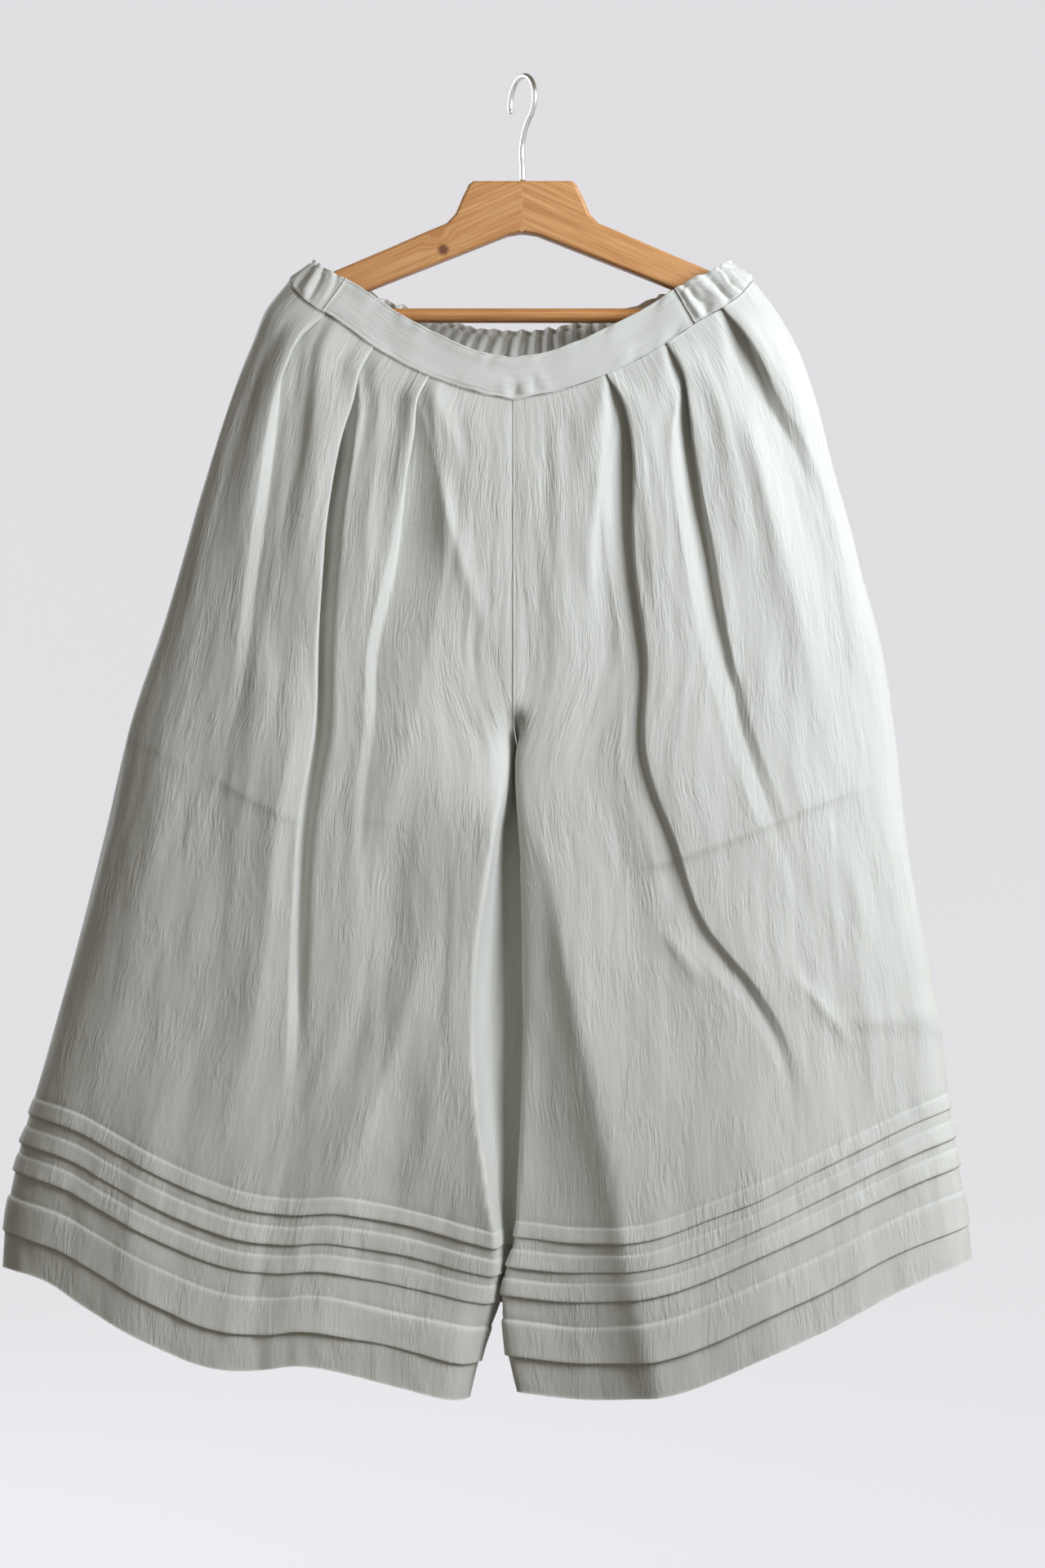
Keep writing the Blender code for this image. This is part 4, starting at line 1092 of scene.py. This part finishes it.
def cedar(name, sapwood, grainwood, along, knot):
    """Oiled cedar: grain drawn out along one direction, bent round a knot where there is one."""
    made, tree, shader = new_material(name)
    place = add_node(tree, "TexCoord").outputs["Object"]
    if knot:
        centre = (KNOT_X * MM, -0.5 * HANGER_THICKNESS * MM, KNOT_Z * MM)
        offset = add_node(tree, "VectorMath", {0: place, 1: centre}, operation="SUBTRACT")
        far = add_node(tree, "VectorMath", {0: offset}, operation="LENGTH")
        near = add_node(tree, "MapRange", {
            "Value": far.outputs["Value"], "From Min": 0.003, "From Max": 0.020,
            "To Min": 1.0, "To Max": 0.0}, interpolation_type="SMOOTHSTEP")
        push = add_node(tree, "VectorMath", {"Vector": offset, "Scale": near}, operation="SCALE")
        place = add_node(tree, "VectorMath", {0: place, 1: push}, operation="ADD")
    turned = add_node(tree, "Mapping", {"Vector": place, "Rotation": (0.0, along, 0.0)})
    # Growth rings 2 to 6 mm apart across the grain, drawn out over 90 mm along it
    stretched = add_node(tree, "Mapping", {"Vector": turned, "Scale": (11.0, 160.0, 420.0)})
    rings = add_node(tree, "TexNoise", {
        "Vector": stretched, "Scale": 1.0, "Detail": 3.0, "Roughness": 0.55, "Distortion": 0.2})
    # Fibres about 1 mm apart and 18 mm long
    fibres = add_node(tree, "Mapping", {"Vector": turned, "Scale": (55.0, 900.0, 1500.0)})
    fine = add_node(tree, "TexNoise", {"Vector": fibres, "Scale": 1.0, "Detail": 2.0})
    both = add_node(tree, "Mix", {0: 0.25, 2: rings, 3: fine}, data_type="FLOAT")
    spread = add_node(tree, "MapRange", {"Value": both, "From Min": 0.36, "From Max": 0.66})
    wood = add_node(tree, "Mix", {
        "Factor": spread, 6: colour(grainwood), 7: colour(sapwood)}, data_type="RGBA")
    if knot:
        core = add_node(tree, "MapRange", {
            "Value": far.outputs["Value"], "From Min": 0.0022, "From Max": 0.0062,
            "To Min": 1.0, "To Max": 0.0}, interpolation_type="SMOOTHSTEP")
        wood = add_node(tree, "Mix", {
            "Factor": core, 6: wood.outputs[2], 7: colour("#6b3d22")}, data_type="RGBA")
    bump = add_node(tree, "Bump", {"Height": fine, "Strength": 0.35, "Distance": 0.0002})
    connect(tree, shader, {
        "Base Color": wood.outputs[2], "Normal": bump, "Roughness": 0.42, "IOR": 1.5,
        "Coat Weight": 0.12, "Coat Roughness": 0.35})
    return made


def plate_outline(corners, longest):
    """A closed outline, its long straight runs cut into even steps."""
    corners = np.asarray(corners, float)
    after = np.roll(corners, -1, axis=0)
    counts = np.maximum(1, (np.linalg.norm(after - corners, axis=1) / longest).astype(int))
    return np.concatenate([
        start + (end - start) * (np.arange(count) / count)[:, None]
        for start, end, count in zip(corners, after, counts)])


def rounded_plate(name, outline, half, radius, kept, finish):
    """A flat plate in the XZ plane with rounded edges.

    Rings of the outline go from face to face; near each face they draw in along the outline's
    normal as a quarter circle. Where kept is true the outline isn't drawn in sideways.
    """
    before = np.roll(outline, 1, axis=0)
    after = np.roll(outline, -1, axis=0)
    inward = unit(np.stack((before[:, 1] - after[:, 1], after[:, 0] - before[:, 0]), axis=1))
    area = np.sum(outline[:, 0] * after[:, 1] - after[:, 0] * outline[:, 1])
    inward = inward * np.sign(area)
    inward[kept] = 0.0
    angle = np.linspace(0.0, 0.5 * math.pi, EDGE_RINGS)
    depth = half - radius * (1.0 - np.sin(angle))
    depth = np.concatenate((-depth[::-1], depth))
    inset = radius * (1.0 - np.cos(angle))
    inset = np.concatenate((inset[::-1], inset))
    flat = outline[None] + inset[:, None, None] * inward[None]
    rings = np.stack((flat[..., 0], np.broadcast_to(depth[:, None], flat.shape[:2]),
                      flat[..., 1]), axis=-1)
    index = np.arange(rings.size // 3).reshape(len(depth), len(outline))
    faces = ring_quads(index)[:, (0, 3, 2, 1)].tolist()
    faces += [index[0].tolist(), index[-1][::-1].tolist()]
    if area > 0.0:
        faces = [face[::-1] for face in faces]
    return new_object(name, rings * MM, faces, finish, flat_faces=2)


for side, sign in ((RIGHT, -1.0), (LEFT, 1.0)):
    tip_x = abs(curve(SECTIONS[side], "side_x", TIP_FALL)) - TIP_CLEAR
    corners = [(0.5 * MITRE_GAP, ARM_MIDDLE_TOP_Z), *ARM_TOP, (tip_x - TIP_BEVEL, TIP_TOP_Z),
               (tip_x, TIP_Z), (tip_x - TIP_BEVEL, TIP_BOTTOM_Z),
               (tip_x - TIP_FOOT, HEEL_BOTTOM_Z), (HEEL_X, HEEL_BOTTOM_Z), (HEEL_X, HEEL_TOP_Z),
               *ARM_BOTTOM, (0.5 * MITRE_GAP, ARM_MIDDLE_BOTTOM_Z)]
    outline = plate_outline(corners, LONGEST_STEP)
    at_mitre = outline[:, 0] < MITRE_REACH
    finish = cedar("oiled_cedar_" + side, "#d3a067", "#b67a41", -sign * ARM_LEANS, side == RIGHT)
    arm = rounded_plate("dressed_arm_" + side, outline * (sign, 1.0), 0.5 * HANGER_THICKNESS,
                        EDGE_ROUND, at_mitre, finish)
    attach(arm, "root")
    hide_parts("hanger_arm_" + side)


# ---- Trouser bar ----
# A round cedar dowel of 12 mm, turned and sanded, its ends glued into the arms' heels.

BAR_RADIUS = 5.9
BAR_Z = -193.0
BAR_RINGS = 40
BAR_SIDES = 40


def tube(name, path, radii, sides, finish):
    """A round tube with closed ends: circles square to a path that lies in one plane."""
    path = np.asarray(path, float)
    ahead = unit(np.gradient(path, axis=0))
    across = np.cross(path[-1] - path[0], path[len(path) // 2] - path[0])
    if np.linalg.norm(across) < 1e-6:
        across = np.array((0.0, 1.0, 0.0))
    across = unit(across)
    upward = np.cross(ahead, across)
    angle = np.arange(sides) * 2.0 * math.pi / sides
    ring = np.cos(angle)[:, None] * across + np.sin(angle)[:, None] * upward[:, None, :]
    points = path[:, None, :] + np.asarray(radii)[:, None, None] * ring
    index = np.arange(len(path) * sides).reshape(len(path), sides)
    faces = ring_quads(index).tolist() + [index[0][::-1].tolist(), index[-1].tolist()]
    return new_object(name, points * MM, faces, finish, flat_faces=2)


half_bar = HEEL_X - SEAM_GAP
bar_line = np.linspace((-half_bar, 0.0, BAR_Z), (half_bar, 0.0, BAR_Z), BAR_RINGS)
bar = tube("dressed_bar", bar_line, np.full(BAR_RINGS, BAR_RADIUS), BAR_SIDES,
           cedar("turned_cedar", "#cc9559", "#a96c38", 0.0, False))
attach(bar, "root")
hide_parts("hanger_bar")


# ---- Hook ----
# Drawn steel wire of 4.3 mm, bent to a swan neck and three quarters of a turn and screwed into
# the neck of the hanger. Bright zinc plating gives it a clean, slightly soft shine.

WIRE_RADIUS = 2.15
WIRE_SIDES = 24
HOOK_RADIUS = 20.0
HOOK_TURN = math.radians(60.0)
BOW_FROM = math.radians(-58.0)
BOW_TO = math.radians(200.0)
BOW_KNOTS = 22
HOOK_RINGS = 131
NECK = ((0.0, -83.7), (0.0, -72.0), (-1.0, -63.0), (-0.5, -54.0), (4.0, -43.0))

wire_steel, tree, shader = new_material("plated_steel_wire")
place = add_node(tree, "TexCoord").outputs["Object"]
drawn = add_node(tree, "TexNoise", {"Vector": place, "Scale": 900.0, "Detail": 2.0})
scratches = add_node(tree, "Bump", {"Height": drawn, "Strength": 0.2, "Distance": 0.0001})
connect(tree, shader, {
    "Base Color": colour("#d3d3d1"), "Metallic": 1.0, "Roughness": 0.24, "Normal": scratches})

angles = np.linspace(BOW_FROM, BOW_TO, BOW_KNOTS)
bow = HOOK_RADIUS * np.stack((np.cos(angles), np.sin(angles)), axis=1)
bow[:, 1] += WIRE_RADIUS - HOOK_RADIUS
coarse = np.concatenate((NECK, bow))
knots = np.arange(len(coarse), dtype=float)
fine = np.linspace(0.0, len(coarse) - 1.0, HOOK_RINGS)
flat = np.stack([smooth_curve(knots, coarse[:, axis], fine) for axis in (0, 1)], axis=1)
hook_line = np.stack((flat[:, 0] * math.cos(HOOK_TURN), -flat[:, 0] * math.sin(HOOK_TURN),
                      flat[:, 1]), axis=1)
# The wire's end is rounded: its radius goes as a circle's over the last of its length
from_tip = distance_along(hook_line[::-1][None])[0][::-1]
radii = WIRE_RADIUS * np.sqrt(1.0 - np.clip(1.0 - from_tip / WIRE_RADIUS, 0.0, 0.97) ** 2)
hook = tube("dressed_hook", hook_line, radii, WIRE_SIDES, wire_steel)
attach(hook, "root")
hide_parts("hanger_hook")


# ---- Studio ----
# A round sweep of matt pale paint that rises from floor to wall, a soft light near by on the
# right, a weak one in front and a farther one behind on the left. The camera looks level at the
# garment's middle.

FLOOR_Z_M = -1.75
SWEEP_RADIUS_M = 6.5
SWEEP_BEND_M = 2.4
SWEEP_TOP_M = 4.5
SWEEP_HOLE_M = 0.02
SWEEP_FLAT_M = 1.5
SWEEP_SIDES = 96
SWEEP_STEPS = 16

pale_paint, tree, shader = new_material("pale_matt_paint")
connect(tree, shader, {
    "Base Color": colour("#6e6d6f"), "Roughness": 0.95, "Emission Color": colour("#e6e5e9"),
    "Emission Strength": 0.88})

bend = np.linspace(-0.5 * math.pi, 0.0, SWEEP_STEPS)
profile = np.concatenate((
    ((SWEEP_HOLE_M, FLOOR_Z_M), (SWEEP_FLAT_M, FLOOR_Z_M)),
    np.stack((SWEEP_RADIUS_M - SWEEP_BEND_M + SWEEP_BEND_M * np.cos(bend),
              FLOOR_Z_M + SWEEP_BEND_M + SWEEP_BEND_M * np.sin(bend)), axis=1),
    ((SWEEP_RADIUS_M, SWEEP_TOP_M),)))
around = np.linspace(0.0, 2.0 * math.pi, SWEEP_SIDES + 1)[:-1]
ring = np.stack((np.cos(around), np.sin(around)), axis=1)
sweep_points = np.concatenate((
    profile[:, None, :1] * ring,
    np.broadcast_to(profile[:, None, 1:], (len(profile), SWEEP_SIDES, 1))), axis=-1)
index = np.arange(len(profile) * SWEEP_SIDES).reshape(len(profile), SWEEP_SIDES)
sweep = new_object("studio_sweep", sweep_points,
                   ring_quads(index).tolist() + [index[0][::-1].tolist()], pale_paint)
sweep.visible_diffuse = False
sweep.visible_shadow = False

# Each lamp's place, its size in metres and its power in watts
LIGHTS = {
    "key": (1.20, -0.95, 0.18, 0.9, 38.5),
    "fill": (-1.2, -3.2, 0.2, 2.4, 2.0),
    "behind": (-2.0, 2.1, 0.6, 1.4, 66.0),
}
AIM = Vector((0.0, 0.0, -0.60))
for name, (*place, size, watts) in LIGHTS.items():
    data = bpy.data.lights.new(name, "AREA")
    data.size = size
    data.energy = watts
    data.color = colour("#f0f6ff")[:3]
    lamp = bpy.data.objects.new(name, data)
    bpy.context.scene.collection.objects.link(lamp)
    lamp.location = place
    lamp.visible_camera = False
    lamp.rotation_mode = "QUATERNION"
    lamp.rotation_quaternion = (lamp.location - AIM).to_track_quat("Z", "Y")

# The room's light: bright from above and from the right, dim from below and from the left
ROOM_LEANS = (0.65, -0.22, 0.48)
world = bpy.data.worlds.new("studio_air")
world.use_nodes = True
air = world.node_tree
facing = add_node(air, "TexCoord").outputs["Generated"]
leaning = add_node(air, "VectorMath", {0: facing, 1: ROOM_LEANS}, operation="DOT_PRODUCT")
brightness = add_node(air, "MapRange", {
    "Value": leaning.outputs["Value"], "From Min": -0.8, "From Max": 0.8,
    "To Min": 0.025, "To Max": 0.34})
connect(air, air.nodes["Background"], {"Color": colour("#f8ecd6"), "Strength": brightness})
bpy.context.scene.world = world

CAMERA_AT_M = (0.0, -2.2, -0.5753)
FILM_WIDTH_MM = 36.0
LENS_MM = 61.875
camera_data = bpy.data.cameras.new("camera")
camera_data.sensor_width = FILM_WIDTH_MM
camera_data.lens = LENS_MM
camera = bpy.data.objects.new("camera", camera_data)
camera.location = CAMERA_AT_M
camera.rotation_euler = (0.5 * math.pi, 0.0, 0.0)
bpy.context.scene.collection.objects.link(camera)
bpy.context.scene.camera = camera
bpy.context.scene.view_settings.view_transform = "Standard"
